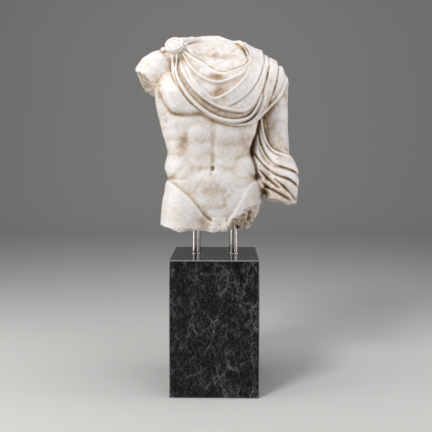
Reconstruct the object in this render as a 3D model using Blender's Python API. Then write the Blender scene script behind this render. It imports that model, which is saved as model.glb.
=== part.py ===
"""Broken marble torso of a youth in a pinned cloak, held over a black marble plinth by two steel rods.

The scene is in metres, +Z up, the front of the figure towards -Y, origin at the middle of the
plinth's underside. All sizes below are millimetres. The torso, with its cloak and brooch, is one
stone: its skin is the zero level of a distance field, taken off a regular grid and thinned.
"""

import math

import bpy
import numpy as np
import openvdb

# Plinth and rods
PLINTH_SIDE = 300.0
PLINTH_HEIGHT = 460.0
PLINTH_ARRIS = 2.5
ROD_DIAMETER = 30.0
ROD_SPACING = 132.0
ROD_TOP = 610.0
COLLAR_DIAMETER = 37.0
COLLAR_THICKNESS = 2.4
CLEARANCE = 0.3
ROUND_SIDES = 48

# Torso, set out from a level this far above the ground
LEVEL = 10.0
NECK_BREAK_LOW = (-4.0, -58.0, 1098.0)
ARM_BREAK_MIDDLE = (-236.0, 0.0, 1043.5)
FOREARM_BREAK_MIDDLE = (232.0, -20.0, 634.0)
UNDERSIDE = 545.0
BROOCH_CENTRE = (-140.0, -46.0, 1178.0)
BROOCH_RADIUS = 33.0
BROOCH_THICKNESS = 18.0
MANTLE_THICKNESS = 11.0

# Meshing
REACH = 70.0
GRID = 4.0
COARSE = 4
GRID_LOW = (-312.0, -168.0, 520.0)
GRID_HIGH = (312.0, 168.0, 1240.0)
RELIEF_STEP = 3.0
TORSO_TRIANGLES = 8200


# ---- numbers ----

def ease(start, end, value):
    """Smooth step: 0 before start, 1 after end, with 3t^2 - 2t^3 between."""
    t = np.clip((value - start) / (end - start), 0, 1)
    return t * t * (3 - 2 * t)


def join(a, b, width):
    """Union of two distances, rounded over the width: the smaller one, less a quarter of the
    squared overlap."""
    h = np.maximum(width - np.abs(a - b), 0) / width
    return np.minimum(a, b) - h * h * width * 0.25


def meet(a, b, width):
    """Intersection of two distances, rounded over the width."""
    return -join(-a, -b, width)


def higher(a, b, width):
    """The greater of two heights, rounded over the width."""
    return -join(-a, -b, width)


def unit(vector):
    vector = np.array(vector, float)
    return vector / np.linalg.norm(vector)


def through(places, values, at):
    """Smooth curve through values given at uneven places: cubic Hermite, with central slopes."""
    places, values = np.array(places, float), np.array(values, float)
    slope = np.gradient(values, places)
    i = np.clip(np.searchsorted(places, at) - 1, 0, len(places) - 2)
    gap = places[i + 1] - places[i]
    t = np.clip((at - places[i]) / gap, 0, 1)
    s = 1 - t
    return (s * s * (1 + 2 * t) * values[i] + t * t * (1 + 2 * s) * values[i + 1]
            + t * s * s * gap * slope[i] - t * t * s * gap * slope[i + 1])


LATTICE = np.random.default_rng(7).uniform(-1, 1, (32, 32, 32)).astype(np.float32)


def noise(p, grain, shift=0.0):
    """Smooth value in -1..1, random from one lattice point to the next, eased between them."""
    q = p / grain + shift + 100
    low = np.floor(q).astype(np.int32)
    f = q - low
    f = f * f * (3 - 2 * f)
    low &= 31
    high = (low + 1) & 31
    total = 0
    for corner in range(8):
        pick = [(corner >> k) & 1 for k in range(3)]
        index = [high[:, k] if pick[k] else low[:, k] for k in range(3)]
        weight = [f[:, k] if pick[k] else 1 - f[:, k] for k in range(3)]
        total = total + LATTICE[tuple(index)] * weight[0] * weight[1] * weight[2]
    return total


def rough(p, grain, depth):
    """Broken stone: two sizes of lump."""
    return depth * (0.6 * noise(p, grain) + 0.4 * noise(p, grain * 0.43, 5.3))


def flaked(p, grain, depth):
    """Fresh fracture: ridged lumps, as stone breaks in facets with sharp edges between them."""
    return depth * (1.2 * np.abs(noise(p, grain, 2.2)) + 0.7 * np.abs(noise(p, grain * 0.45, 7.1))
                    + 0.35 * noise(p, grain * 0.2, 3.7) - 0.6)


# ---- solid shapes, as distances from points p (one row each) ----

def ellipsoid(p, centre, radii, lean=0.0):
    """Distance to an ellipsoid, near enough: k0 (k0 - 1) / k1, with k0 and k1 the lengths of q / radii
    and q / radii squared. lean is in degrees about the depth axis, top towards +X."""
    q = p - np.array(centre)
    c, s = math.cos(math.radians(lean)), math.sin(math.radians(lean))
    q = np.stack([c * q[:, 0] - s * q[:, 2], q[:, 1], s * q[:, 0] + c * q[:, 2]], 1)
    near = np.sqrt(((q / radii) ** 2).sum(1))
    return near * (near - 1) / np.maximum(np.sqrt(((q / np.square(radii)) ** 2).sum(1)), 1e-6)


def limb(p, start, end, first_radius, last_radius):
    """Round bar between two points, its radius changing along it."""
    start, along = np.array(start, float), np.subtract(end, start).astype(float)
    q = p - start
    t = np.clip(q @ along / (along @ along), 0, 1)
    return np.linalg.norm(q - t[:, None] * along, axis=1) - first_radius - (last_radius - first_radius) * t


def beyond(p, point, normal):
    """Height above a plane."""
    return (p - np.array(point)) @ unit(normal)


class Loft:
    """Superellipse sections stacked in Z, |x/a|^n + |y/b|^n = 1: rows of level, left, right, front, back."""

    def __init__(self, power, *rows):
        self.power = power
        self.levels = np.arange(rows[0][0], rows[-1][0] + 1, 2.0)
        table = np.array(rows, float).T
        self.sides = [through(table[0], side, self.levels) for side in table[1:]]

    def __call__(self, p):
        left, right, front, back = (np.interp(p[:, 2], self.levels, side) for side in self.sides)
        x, y = p[:, 0] - (left + right) / 2, p[:, 1] - (front + back) / 2
        shape = (np.abs(2 * x / (right - left)) ** self.power
                 + np.abs(2 * y / (back - front)) ** self.power) ** (1 / self.power)
        radius = np.hypot(x, y)
        return radius - radius / np.maximum(shape, 1e-3)


TRUNK = Loft(
    2.4,
    (500, -180, 110, -70, 100), (570, -190, 140, -85, 130), (640, -180, 165, -100, 130),
    (675, -170, 165, -100, 120), (710, -165, 150, -105, 105), (755, -170, 140, -100, 85),
    (800, -165, 125, -100, 80), (880, -185, 145, -110, 95), (970, -200, 170, -115, 110),
    (1010, -195, 180, -115, 115), (1050, -180, 180, -100, 115), (1140, -125, 110, -55, 90),
    (1250, -100, 75, -20, 65))
FOREARM = Loft(
    2.3,
    (600, 195, 285, -70, 45), (650, 180, 285, -85, 55), (700, 180, 290, -85, 60),
    (770, 170, 280, -65, 60), (800, 170, 265, -50, 60), (840, 170, 260, -30, 55))


def arm_break(p):
    """Break of the right arm: positive beyond a plane, and in front below a jagged line, from where it
    runs back and down."""
    x, y, z = p.T
    lost = np.interp(x, (-275, -250, -215, -185), (1090, 1075, 1050, 1035)) - z
    skin = np.interp(x, (-275, -258, -233, -200), (12, -20, -45, -58))
    return higher(beyond(p, ARM_BREAK_MIDDLE, (-0.62, -0.29, -0.72)),
                  np.minimum(lost, (skin + 1.3 * lost - y) / 1.6), 4) + rough(p, 30, 5) + flaked(p, 14, 5) - 3


def body(p):
    """Trunk, shoulders, arms and thighs before muscle and cloth are laid on."""
    d = TRUNK(p)
    stump = join(ellipsoid(p, (-198, 12, 1088), (80, 66, 75)),
                 limb(p, (-200, 10, 1088), (-268, 0, 1000), 65, 60), 20)
    d = join(d, meet(stump, arm_break(p), 2), 30)
    d = join(d, ellipsoid(p, (-122, 30, 1136), (88, 56, 42), -20), 30)
    d = join(d, limb(p, (194, 20, 1052), (204, 16, 940), 60, 46), 30)
    d = join(d, limb(p, (204, 16, 940), (213, 14, 800), 46, 45), 14)
    d = join(d, ellipsoid(p, (112, 28, 1120), (118, 58, 54), 28), 30)
    d = join(d, ellipsoid(p, (-100, -60, 1010), (98, 50, 72), -16), 46)
    d = join(d, ellipsoid(p, (88, -60, 1006), (98, 50, 72), 14), 46)
    d = join(d, limb(p, (-94, -8, 680), (-108, -14, 500), 77, 83), 22)
    d = join(d, limb(p, (80, -10, 672), (60, -14, 500), 80, 75), 22)
    d = join(d, ellipsoid(p, (-92, 78, 610), (84, 68, 74)), 24)
    return join(d, ellipsoid(p, (74, 78, 622), (84, 68, 74)), 24)


def wrapped_arm(p):
    """Cloth round the left forearm, and the web of cloth between it and the trunk."""
    d = meet(FOREARM(p), p[:, 2] - 815, 30)
    d = join(d, limb(p, (164, 4, 960), (156, 0, 752), 26, 40), 26)
    d = join(d, limb(p, (156, 0, 752), (166, -4, 692), 40, 30), 20)
    return join(d, limb(p, (124, 50, 970), (140, 42, 752), 42, 40), 30)


def forearm_break(p):
    """Height below the plane where the forearm broke off, with a lip in front."""
    lip = 11 * np.exp(-((p[:, 0] - 252) / 22) ** 2) * ease(-20, -60, p[:, 1])
    return beyond(p, FOREARM_BREAK_MIDDLE, (-0.10, -0.12, -0.985)) - lip + rough(p, 26, 4) + flaked(p, 12, 2)


# ---- relief, drawn on the X-Z plane and laid on the front or the back ----

class Relief:
    """Height in millimetres over a raster of X and Z, read between its cells by straight lines."""

    def __init__(self, draw):
        self.low = (GRID_LOW[0] - 20, GRID_LOW[2] - 20)
        high = (GRID_HIGH[0] + 20, GRID_HIGH[2] + 20)
        self.x, self.z = np.meshgrid(np.arange(self.low[0], high[0], RELIEF_STEP),
                                     np.arange(self.low[1], high[1], RELIEF_STEP), indexing="ij")
        self.height = draw(self.x, self.z)

    def __call__(self, p):
        u = np.clip((p[:, 0] - self.low[0]) / RELIEF_STEP, 0, self.height.shape[0] - 1.01)
        v = np.clip((p[:, 2] - self.low[1]) / RELIEF_STEP, 0, self.height.shape[1] - 1.01)
        i, j = u.astype(int), v.astype(int)
        f, g = u - i, v - j
        h = self.height
        return ((h[i, j] * (1 - f) + h[i + 1, j] * f) * (1 - g)
                + (h[i, j + 1] * (1 - f) + h[i + 1, j + 1] * f) * g)


def swag(x, z, start, low, end, left_power, right_power):
    """Line of cloth hanging between two points: two quarter superellipses, upright at the ends and
    level at the low point. Gives the distance below the line, and the place along it: 0, 1, 2."""
    halves = []
    for top, power in ((start, left_power), (end, right_power)):
        wide, deep = abs(low[0] - top[0]), top[1] - low[1]
        a = np.maximum(np.abs(low[0] - x) / wide, 1e-4)
        b = np.maximum((top[1] - z) / deep, 1e-4)
        size = (a ** power + b ** power) ** (1 / power)
        slope = size ** (1 - power) * np.hypot(a ** (power - 1) / wide, b ** (power - 1) / deep)
        halves.append(((size - 1) / slope, np.arctan2(b, a) * 2 / math.pi))
    left = x < low[0]
    return (np.where(left, halves[0][0], halves[1][0]),
            np.where(left, halves[0][1], 2 - halves[1][1]))


def curve(*points):
    """Places about 9 mm apart on a smooth line through a few points."""
    points = np.array(points, float)
    run = np.concatenate([[0], np.cumsum(np.hypot(*np.diff(points, axis=0).T))])
    steps = np.linspace(0, run[-1], max(8, int(run[-1] / 9)))
    return np.stack([through(run, points[:, 0], steps), through(run, points[:, 1], steps)], 1)


def line(x, z, *points):
    """Smooth line through the points: the distance below it, going right, and the place along it,
    0 to 1. It is worked out only within REACH of the points, and is far away elsewhere."""
    px, pz = curve(*points).T
    i = slice(*np.searchsorted(x[:, 0], (px.min() - REACH, px.max() + REACH)))
    j = slice(*np.searchsorted(z[0], (pz.min() - REACH, pz.max() + REACH)))
    gx, gz = x[i, j], z[i, j]
    best, below, place = np.full(gx.shape, 1e9), np.zeros(gx.shape), np.zeros(gx.shape)
    for k in range(len(px) - 1):
        dx, dz = px[k + 1] - px[k], pz[k + 1] - pz[k]
        t = np.clip(((gx - px[k]) * dx + (gz - pz[k]) * dz) / (dx * dx + dz * dz), 0, 1)
        ex, ez = gx - px[k] - t * dx, gz - pz[k] - t * dz
        d = np.hypot(ex, ez)
        nearer = d < best
        best = np.where(nearer, d, best)
        below = np.where(nearer, np.sign(ex * dz - ez * dx), below)
        place = np.where(nearer, (k + t) / (len(px) - 1), place)
    far, along = np.full(x.shape, 4.0 * REACH), np.zeros(x.shape)
    far[i, j], along[i, j] = best * np.where(below == 0, 1, below), place
    return far, along


def inside(x, z, *corners):
    """Distance to the edge of a closed outline, counted positive inside it: even-odd crossings of a
    level ray give the side."""
    corners = np.array(corners, float)
    after = np.roll(corners, -1, axis=0)
    within, best = np.zeros(x.shape, bool), np.full(x.shape, 1e9)
    for (ax, az), (bx, bz) in zip(corners, after):
        t = np.clip(((x - ax) * (bx - ax) + (z - az) * (bz - az)) / ((bx - ax) ** 2 + (bz - az) ** 2), 0, 1)
        best = np.minimum(best, np.hypot(x - ax - t * (bx - ax), z - az - t * (bz - az)))
        if az != bz:
            within ^= ((az > z) != (bz > z)) & (x < ax + (z - az) * (bx - ax) / (bz - az))
    return np.where(within, best, -best)


def crest(d, above, below, power=2.0):
    """Ridge: 1 on the line, fading over a width above and a width below it."""
    return np.exp(-(np.abs(d) / np.where(d < 0, above, below)) ** power)


def lap(d, rise, fall, before, after):
    """Edge where one fold lies over the next: the cloth climbs to the edge, drops, and levels out."""
    side = ease(-2.5, 2.5, d)
    return ((1 - side) * rise * np.exp(np.minimum(d, 0) / before)
            - side * fall * np.exp(-np.maximum(d, 0) / after))


def roll(d, half_width):
    """Round-topped section."""
    return np.maximum(1 - (d / half_width) ** 2, 0) ** 0.7


def mound(x, z, centre, wide, low, high, lean=0.0, square=2.4, top=2.0, edge=1.2):
    """Muscle: (1 - r^top)^edge, r the superelliptic distance, so 1 in the middle and 0 at its outline,
    with its own reach downwards and upwards."""
    c, s = math.cos(math.radians(lean)), math.sin(math.radians(lean))
    u, v = (x - centre[0]) * c - (z - centre[1]) * s, (x - centre[0]) * s + (z - centre[1]) * c
    r = (np.abs(u / wide) ** square + np.abs(v / np.where(v < 0, low, high)) ** square) ** (1 / square)
    return np.maximum(1 - r ** top, 0) ** edge


def dab(x, z, centre, wide, tall, lean=0.0):
    """Soft round patch: exp(-(u/wide)^2 - (v/tall)^2)."""
    c, s = math.cos(math.radians(lean)), math.sin(math.radians(lean))
    u, v = (x - centre[0]) * c - (z - centre[1]) * s, (x - centre[0]) * s + (z - centre[1]) * c
    return np.exp(-(u / wide) ** 2 - (v / tall) ** 2)


# Lines of the cloak over the chest, in X and Z, from the brooch to the left shoulder. Each is a curve
# through the few places where it turns, set by hand on a 5 mm step.
NECKLINE = ((-115, 1165), (-75, 1135), (-35, 1110), (0, 1085), (25, 1075), (65, 1085), (105, 1105),
            (120, 1135), (100, 1185))
FIRST_FOLD = ((-110, 1145), (-75, 1090), (-35, 1055), (10, 1040), (50, 1050), (90, 1070), (115, 1100))
SECOND_FOLD = ((-110, 1135), (-75, 1055), (-40, 1010), (0, 985), (40, 1000), (80, 1030), (110, 1070),
               (120, 1110))
THIRD_FOLD = ((-120, 1135), (-110, 1090), (-85, 1040), (-40, 990), (20, 955), (65, 945), (105, 945),
              (135, 975), (160, 1030), (175, 1105), (175, 1140))
LOW_ROLL = ((-130, 1140), (-130, 1080), (-105, 1020), (-55, 960), (25, 915), (80, 910), (120, 925),
            (150, 970), (165, 1025))
BESIDE_ROLL = ((-145, 1140), (-140, 1100), (-130, 1070))
LAST_ROLL = ((65, 900), (100, 900), (130, 915), (160, 955), (180, 1010))
LOWER_EDGE = ((-150, 1140), (-150, 1100), (-125, 1030), (-80, 965), (-40, 935), (20, 905), (85, 895),
              (125, 900), (155, 920))
ARM_HEM = ((155, 920), (190, 955), (235, 1005), (255, 1050))
RECESS_FOLD = ((65, 930), (90, 930), (120, 945))
FIRST_LAP = ((35, 955), (70, 970), (100, 990), (135, 1030), (160, 1085), (170, 1140), (170, 1190))
SECOND_LAP = ((120, 940), (145, 970), (160, 1010), (180, 1070), (190, 1115), (190, 1160))
THIRD_LAP = ((60, 905), (100, 905), (125, 920), (145, 950), (160, 985), (170, 1025))
FOURTH_LAP = ((175, 955), (195, 1005), (210, 1050), (220, 1100), (220, 1130))
NECK_CREASE = ((60, 1200), (95, 1175), (110, 1140))
LEFT_CREASE = ((-110, 1170), (-80, 1195), (-60, 1205))
PECTORAL = ((-185, 1015), (-165, 970), (-140, 940), (-100, 930), (-15, 940))
VALLEY = ((150, 915), (145, 870), (130, 815), (140, 770), (150, 715))


def muscles(x, z):
    """Front of the body: low mounds with soft creases between them."""
    d, t = line(x, z, *PECTORAL)
    within = ease(-186, -150, x)
    h = 14 * ease(5, -20, d) * ease(-150, -40, d) * (within + 0.4 * (1 - within) * ease(1016, 985, z))
    h *= (d < 3 * REACH) * ease(30, -30, x) * ease(1076, 1000, z)
    h -= 3 * crest(d - 1, 6, 8) * ease(0, 0.1, t) * ease(0.75, 0.45, t)
    d, t = line(x, z, *VALLEY)
    h -= 4 * crest(d, 6, 6)
    h += 1.6 * dab(x, z, (-131, 957), 4.5, 4.5) + 1.0 * dab(x, z, (-131, 957), 11, 9)
    h += 3 * mound(x, z, (-140, 900), 48, 50, 40, 24) + 3 * mound(x, z, (128, 892), 44, 46, 40, -24)
    ribs = np.sin((z + 0.45 * np.abs(x) - 0.0012 * x * x) / 36 * 2 * math.pi)
    h += 0.8 * ribs * (dab(x, z, (-150, 870), 34, 60) + dab(x, z, (128, 866), 26, 54))
    h += 5.2 * mound(x, z, (-54, 872), 44, 38, 30, -16, 2.2, 2.0, 1.7)
    h += 3.0 * mound(x, z, (-48, 820), 44, 30, 26, -10, 2.2, 2.0, 1.6)
    h += 2.2 * mound(x, z, (-50, 778), 44, 24, 24, -6, 2.2, 2.0, 1.6)
    h += 3.8 * mound(x, z, (42, 864), 46, 36, 34, 12, 2.2, 2.0, 1.7)
    h += 2.6 * mound(x, z, (40, 810), 44, 30, 28, 8, 2.2, 2.0, 1.6)
    h += 2.2 * mound(x, z, (38, 772), 42, 24, 24, 0, 2.2, 2.0, 1.6)
    h -= 3.2 * dab(x, z, (-106, 838), 20, 34, 14) + 2.2 * dab(x, z, (98, 838), 17, 34, -14)
    d, t = line(x, z, (-104, 820), (-98, 852), (-88, 880), (-66, 900), (-38, 908), (-14, 902))
    h -= 1.3 * crest(d, 11, 7) * ease(1, 0.6, t) * ease(0, 0.3, t)
    h -= 2.0 * dab(x, z, (-8, 908), 18, 22)
    h += 9 * mound(x, z, (-136, 752), 60, 34, 50, 10, 2.4, 2.2, 1.3)
    h += 7 * mound(x, z, (118, 752), 54, 32, 46, -12, 2.4, 2.2, 1.3)
    d, t = line(x, z, (-172, 708), (-150, 720), (-128, 736), (-104, 756), (-84, 772))
    h -= 2.4 * crest(d, 6, 8) * ease(1, 0.5, t)
    d, t = line(x, z, (158, 716), (138, 724), (118, 736), (98, 754))
    h -= 2.0 * crest(d, 8, 6) * ease(1, 0.5, t)
    h += 8 * mound(x, z, (-4, 692), 82, 80, 66, 0, 2.1, 2.0, 1.3) + 3 * mound(x, z, (12, 594), 40, 26, 22)
    h += 4 * mound(x, z, (-112, 620), 82, 80, 66, 34) + 4 * mound(x, z, (98, 632), 62, 60, 56, -34)
    d, t = line(x, z, (-186, 722), (-158, 710), (-115, 681), (-77, 649), (-50, 614), (-30, 590), (-12, 574))
    h -= (3.5 + 2.5 * t) * crest(d, 16, 4.5) * ease(0, 0.12, t)
    d, t = line(x, z, (38, 574), (56, 598), (74, 622), (89, 653), (110, 692), (146, 716), (170, 724))
    h -= (5 - 2 * t) * crest(d, 16, 5) * ease(1, 0.86, t)
    d, t = line(x, z, (-44, 628), (-22, 616), (6, 611), (32, 616), (54, 628))
    h -= 1.2 * crest(d, 14, 12) * ease(0, 0.35, t) * ease(1, 0.65, t)
    for points in (((-23, 730), (-42, 714), (-59, 688), (-84, 659)),
                   ((40, 712), (48, 694), (62, 672), (79, 655))):
        d, t = line(x, z, *points)
        h -= 1.1 * crest(d, 3.5, 3.5) * ease(0, 0.3, t) * ease(1, 0.7, t)
    d, t = line(x, z, (-4, 930), (-6, 880), (-6, 820), (-6, 764))
    h -= (1.0 + 0.7 * ease(0.45, 1, t)) * crest(d, 9, 9) * ease(0, 0.2, t)
    h += 2.4 * dab(x, z, (14, 764), 14, 16) + 1.8 * dab(x, z, (2, 734), 16, 11)
    h += 1.4 * dab(x, z, (-24, 762), 12, 15)
    return h - 9 * dab(x, z, (-6, 752), 6.5, 7)


def cloak_outline():
    return (*curve(*NECKLINE), (118, 1260), (300, 1260), *curve(*ARM_HEM)[:0:-1],
            *curve(*LOWER_EDGE)[::-1], (-142, 1166))


def shoulder_laps(x, z):
    """Edges of the folds where they cross the top of the left shoulder, drawn straight up and down."""
    h = lap(x - 169, 4, 6, 20, 8) - 3 * crest(x - 189, 5, 4) + lap(x - 219, 3, 7, 16, 12)
    return h * ease(1040, 1110, z) * (x > 90)


def cloak(x, z):
    """Cloth over the chest and the left shoulder, in millimetres over the body."""
    h = 8.0 - 4.5 * dab(x, z, (16, 1058), 44, 13) - 4.5 * dab(x, z, (36, 1016), 52, 15, -24)
    h += 3.5 * dab(x, z, (92, 1010), 60, 20, -44) + 2.5 * dab(x, z, (150, 1110), 16, 60)
    d, t = line(x, z, *NECKLINE)
    h += 3.5 * crest(d - 3, 4, 5) * (1 - ease(0.20, 0.34, t) * ease(0.62, 0.48, t))
    third, place = line(x, z, *THIRD_FOLD)
    h += 6 * crest(third, 34, 6, 1.3) * ease(0.0, 0.3, place) + 3 * crest(third, 4, 5) * ease(0, 0.1, place)
    low, run = line(x, z, *LOW_ROLL)
    recess = ease(1, 7, third) * ease(0.0, 0.34, place) * ease(0.82, 0.72, place) * ease(60, 30, third)
    h = h * (1 - recess) + (5 - 3 * ease(0.3, 0.5, place) + 7 * ease(0.55, 0.7, place)) * recess
    d, t = line(x, z, *RECESS_FOLD)
    h += 5 * crest(d, 3.5, 4) * ease(0, 0.2, t) * ease(1, 0.8, t)
    d, _ = line(x, z, *SECOND_LAP)
    h -= 5 * crest(d - 1, 4, 3.5) + 1.5 * crest(d, 12, 4) + 2 * crest(d + 11, 2.8, 2.8)
    d, t = line(x, z, *FIRST_LAP)
    h += lap(d, 3, 5.5, 20, 5) * ease(0, 0.12, t) - 1.5 * crest(d, 2.5, 2.5) * ease(0.1, 0.3, t)
    d, t = line(x, z, *FOURTH_LAP)
    h += lap(d, 3, 6.5, 14, 7) * ease(0, 0.12, t) - 2 * crest(d, 2.5, 3) * ease(0, 0.2, t)
    d, t = line(x, z, *FIRST_FOLD)
    w = 0.6 + 0.4 * ease(0, 0.4, t)
    h += 6.5 * crest(d, 3.6 * w, 5.5 * w) * ease(1, 0.85, t)
    d, t = line(x, z, *SECOND_FOLD)
    right = ease(0.48, 0.6, t)
    h += (2.5 + 2 * right) * crest(d, 4, 6 + 12 * right) * ease(1.0, 0.9, t) * ease(0.02, 0.2, t)
    h += 4.5 * crest(d, 3, 3.5) * ease(1.0, 0.9, t) * right
    w = 0.62 + 0.38 * ease(0, 0.3, run)
    h = higher(h, (18 - 3 * ease(0.7, 0.9, run)) * roll(low + 1, (8 - 2.5 * ease(0.66, 0.8, run)) * w)
               * ease(1, 0.9, run), 3)
    d, t = line(x, z, *BESIDE_ROLL)
    h = higher(h, 13 * roll(d, 4.5) * ease(1, 0.7, t), 2)
    d, t = line(x, z, *LAST_ROLL)
    h = higher(h, 15 * roll(d, 6) * ease(0, 0.15, t) * ease(1, 0.85, t), 3)
    d, t = line(x, z, *THIRD_LAP)
    h -= 3.5 * crest(d, 2.8, 2.8) * ease(0, 0.12, t) * ease(1, 0.8, t)
    d, t = line(x, z, *ARM_HEM)
    h = higher(h, 12 * roll(d + 6, 7) * ease(0, 0.15, t), 4)
    return np.maximum(h, 2)


def front(x, z):
    """Muscles, and the cloak where it covers them."""
    edge = inside(x, z, *cloak_outline())
    covered = ease(-1.5, 2.5, edge)
    h = cloak(x, z)
    above = ease(1085, 1125, z) * (x > 130)
    h = h * (1 - above) + (10 + shoulder_laps(x, z)) * above
    return muscles(x, z) * (1 - 0.75 * covered) + h * covered


FOREARM_HEM = ((160, 925), (165, 880), (180, 840), (205, 810), (260, 790))
# Creases of the forearm's cloth, with their depth
FOREARM_CREASES = (
    (((150, 900), (155, 850), (175, 800), (205, 765), (245, 750), (270, 740), (300, 715)), 11),
    (((150, 830), (165, 795), (190, 765), (225, 745)), 8),
    (((135, 810), (155, 775), (180, 750), (210, 730), (250, 715), (295, 680)), 11),
    (((135, 805), (155, 760), (195, 720)), 6),
    (((150, 750), (190, 710), (225, 680)), 8),
    (((200, 720), (240, 685), (280, 640)), 7),
    (((150, 710), (175, 690), (205, 675), (265, 640)), 10))


def front_of_arm(x, z):
    """Folds that fan out from the inner side of the forearm and wind round to its outer side."""
    d, t = line(x, z, *FOREARM_HEM)
    h = 8 * roll(d + 1, 6) * ease(1.0, 0.75, t)
    h += 3 * crest(d - 12, 4, 5) * ease(0.9, 0.7, t) - 4 * crest(d + 8, 4, 3)
    for points, depth in FOREARM_CREASES:
        d, t = line(x, z, *points)
        w = 0.72 + 0.38 * ease(0, 0.55, t)
        h += (0.55 * depth * crest(d + 8 * w, 13 * w, 6 * w) + 0.25 * depth * crest(d - 9 * w, 5 * w, 9 * w)
              - 0.68 * depth * crest(d, 4.6 * w, 4.0 * w)) * ease(0, 0.08, t) * ease(1.0, 0.84, t)
    d, t = line(x, z, *VALLEY)
    return h - 6 * crest(d, 5, 6)


# Folds of the mantle across the back: place from hem (0) to neck (1), height, width, where it begins
MANTLE_FOLDS = ((0.05, 6.0, 1.0, 0.0), (0.17, 3.5, 0.8, 0.35), (0.27, 6.5, 1.35, 0.0), (0.43, 4.0, 0.8, 0.5),
                (0.53, 7.0, 1.5, 0.0), (0.72, 4.5, 1.0, 0.3), (0.88, 6.5, 1.5, 0.0))


def back(x, z):
    """Back and seat, and the mantle that hangs across them from the brooch."""
    d, _ = line(x, z, (-6, 1100), (-14, 900), (-16, 700), (-8, 560))
    h = 6 * mound(x, z, (-52, 860), 36, 110, 90) + 9 * mound(x, z, (-104, 1030), 60, 76, 60, -14)
    h -= 9 * crest(d, 13, 13)
    d, _ = line(x, z, (-10, 690), (-8, 600), (-6, 520))
    h -= 7 * crest(d, 12, 12)
    hem, _ = swag(x, z, (-176, 1120), (150, 706), (700, 1120), 1.8, 2)
    cloth = MANTLE_THICKNESS + 6 * roll(hem + 7, 8)
    for a, tall, wide, begin in MANTLE_FOLDS:
        d, t = swag(x, z, (-170 + 150 * a ** 1.3, 1150 + 20 * a), (160 + 70 * a, 712 + 180 * a),
                    (720, 1150), 1.8 - 0.45 * a, 2)
        d = d + 5 * np.sin(6 * t + 11 * a)
        w = wide * (0.45 + 0.55 * ease(0, 0.6, t))
        fold = crest(d, 8 * w, 14 * w) - 0.75 * crest(d - 17 * w, 7 * w, 9 * w)
        cloth += tall * fold * ease(258, 222, x) * ease(begin, begin + 0.22, t + 0.22)
    above = ease(1085, 1135, z) * ease(130, 160, x)
    cloth = np.maximum(cloth, 3) * (1 - above) + (10 + shoulder_laps(x, z)) * above
    covered = ease(4, -4, hem)
    return h * (1 - covered) + cloth * covered


def back_of_arm(x, z):
    h = np.zeros(x.shape)
    for k in range(7):
        d, _ = swag(x, z, (90 + 4 * k, 1010 - 22 * k), (320, 838 - 46 * k), (900, 1000), 1.7, 2)
        h += 5 * crest(d, 7, 12) - 4.5 * crest(d - 15, 6, 6)
    return h * ease(296, 262, x) * ease(845, 800, z)


FRONT, BACK = Relief(front), Relief(back)
FRONT_OF_ARM, BACK_OF_ARM = Relief(front_of_arm), Relief(back_of_arm)
# Top outline, from the stump of the right arm over the neck to the left shoulder
TOP_LINE = ((-260, 1035), (-280, 1100), (-250, 1135), (-205, 1165), (-180, 1195), (-150, 1215),
            (-85, 1225), (10, 1230), (60, 1205), (90, 1205), (140, 1170), (165, 1165), (170, 1150),
            (185, 1150), (215, 1130), (225, 1110), (235, 1110), (245, 1075), (265, 1055), (260, 1035),
            (270, 1020))
UNDER_TOP = Relief(lambda x, z: np.clip(inside(x, z, *TOP_LINE, (340, 300), (-340, 300)), -60, 60))
UNDER_NECKLINE = Relief(
    lambda x, z: np.clip(inside(x, z, *curve(*NECKLINE), (118, 1300), (-128, 1300)), -60, 60))


# ---- the torso ----

def brooch(p):
    """Round disc with a raised rim, ring and boss, and the nub of cloth that it gathers."""
    out = unit((-0.14, -0.78, 0.61))
    side = unit(np.cross((0, 0, 1), out))
    q = (p - np.array(BROOCH_CENTRE)) @ np.stack([side, np.cross(out, side), out], 1)
    r = np.hypot(q[:, 0], q[:, 1])
    raised = (1.4 * np.exp(-((r - 29) / 3.4) ** 2) + 1.2 * np.exp(-((r - 14) / 3.0) ** 2)
              - 0.9 * np.exp(-((r - 21.5) / 4) ** 2) - 0.7 * np.exp(-((r - 7) / 3) ** 2))
    half = BROOCH_THICKNESS / 2
    disc = meet(r - BROOCH_RADIUS, np.abs(q[:, 2] + half - raised) - half - raised, 3)
    return join(disc, ellipsoid(p, (-176, -24, 1160), (12, 14, 9), 20), 3)


def collar(p):
    """Roll of cloth from the brooch round the back of the neck to the left shoulder."""
    path = ((-116, 6, 1196, 13), (-62, 66, 1206, 14), (0, 78, 1208, 14), (60, 68, 1196, 14),
            (112, 20, 1172, 13))
    pieces = [limb(p, a[:3], b[:3], a[3], b[3]) for a, b in zip(path, path[1:])]
    return np.minimum.reduce(pieces)


def thigh_hollows(x, z):
    """How much further back the broken face of the thigh lies: a pit by the rod and a gully between ribs."""
    d, t = line(x, z, (108, 618), (104, 600), (102, 578), (106, 556))
    h = -9 * crest(d, 7, 6) * ease(1, 0.6, t) - 12 * dab(x, z, (60, 572), 10, 16, -30)
    d, t = line(x, z, (120, 614), (118, 596), (112, 574))
    h += 9 * crest(d, 5, 6) - 5 * dab(x, z, (134, 596), 9, 26, -12)
    return h + 14 * dab(x, z, (88, 562), 15, 13) - 7 * dab(x, z, (112, 548), 18, 9)


THIGH_HOLLOWS = Relief(thigh_hollows)


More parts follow.
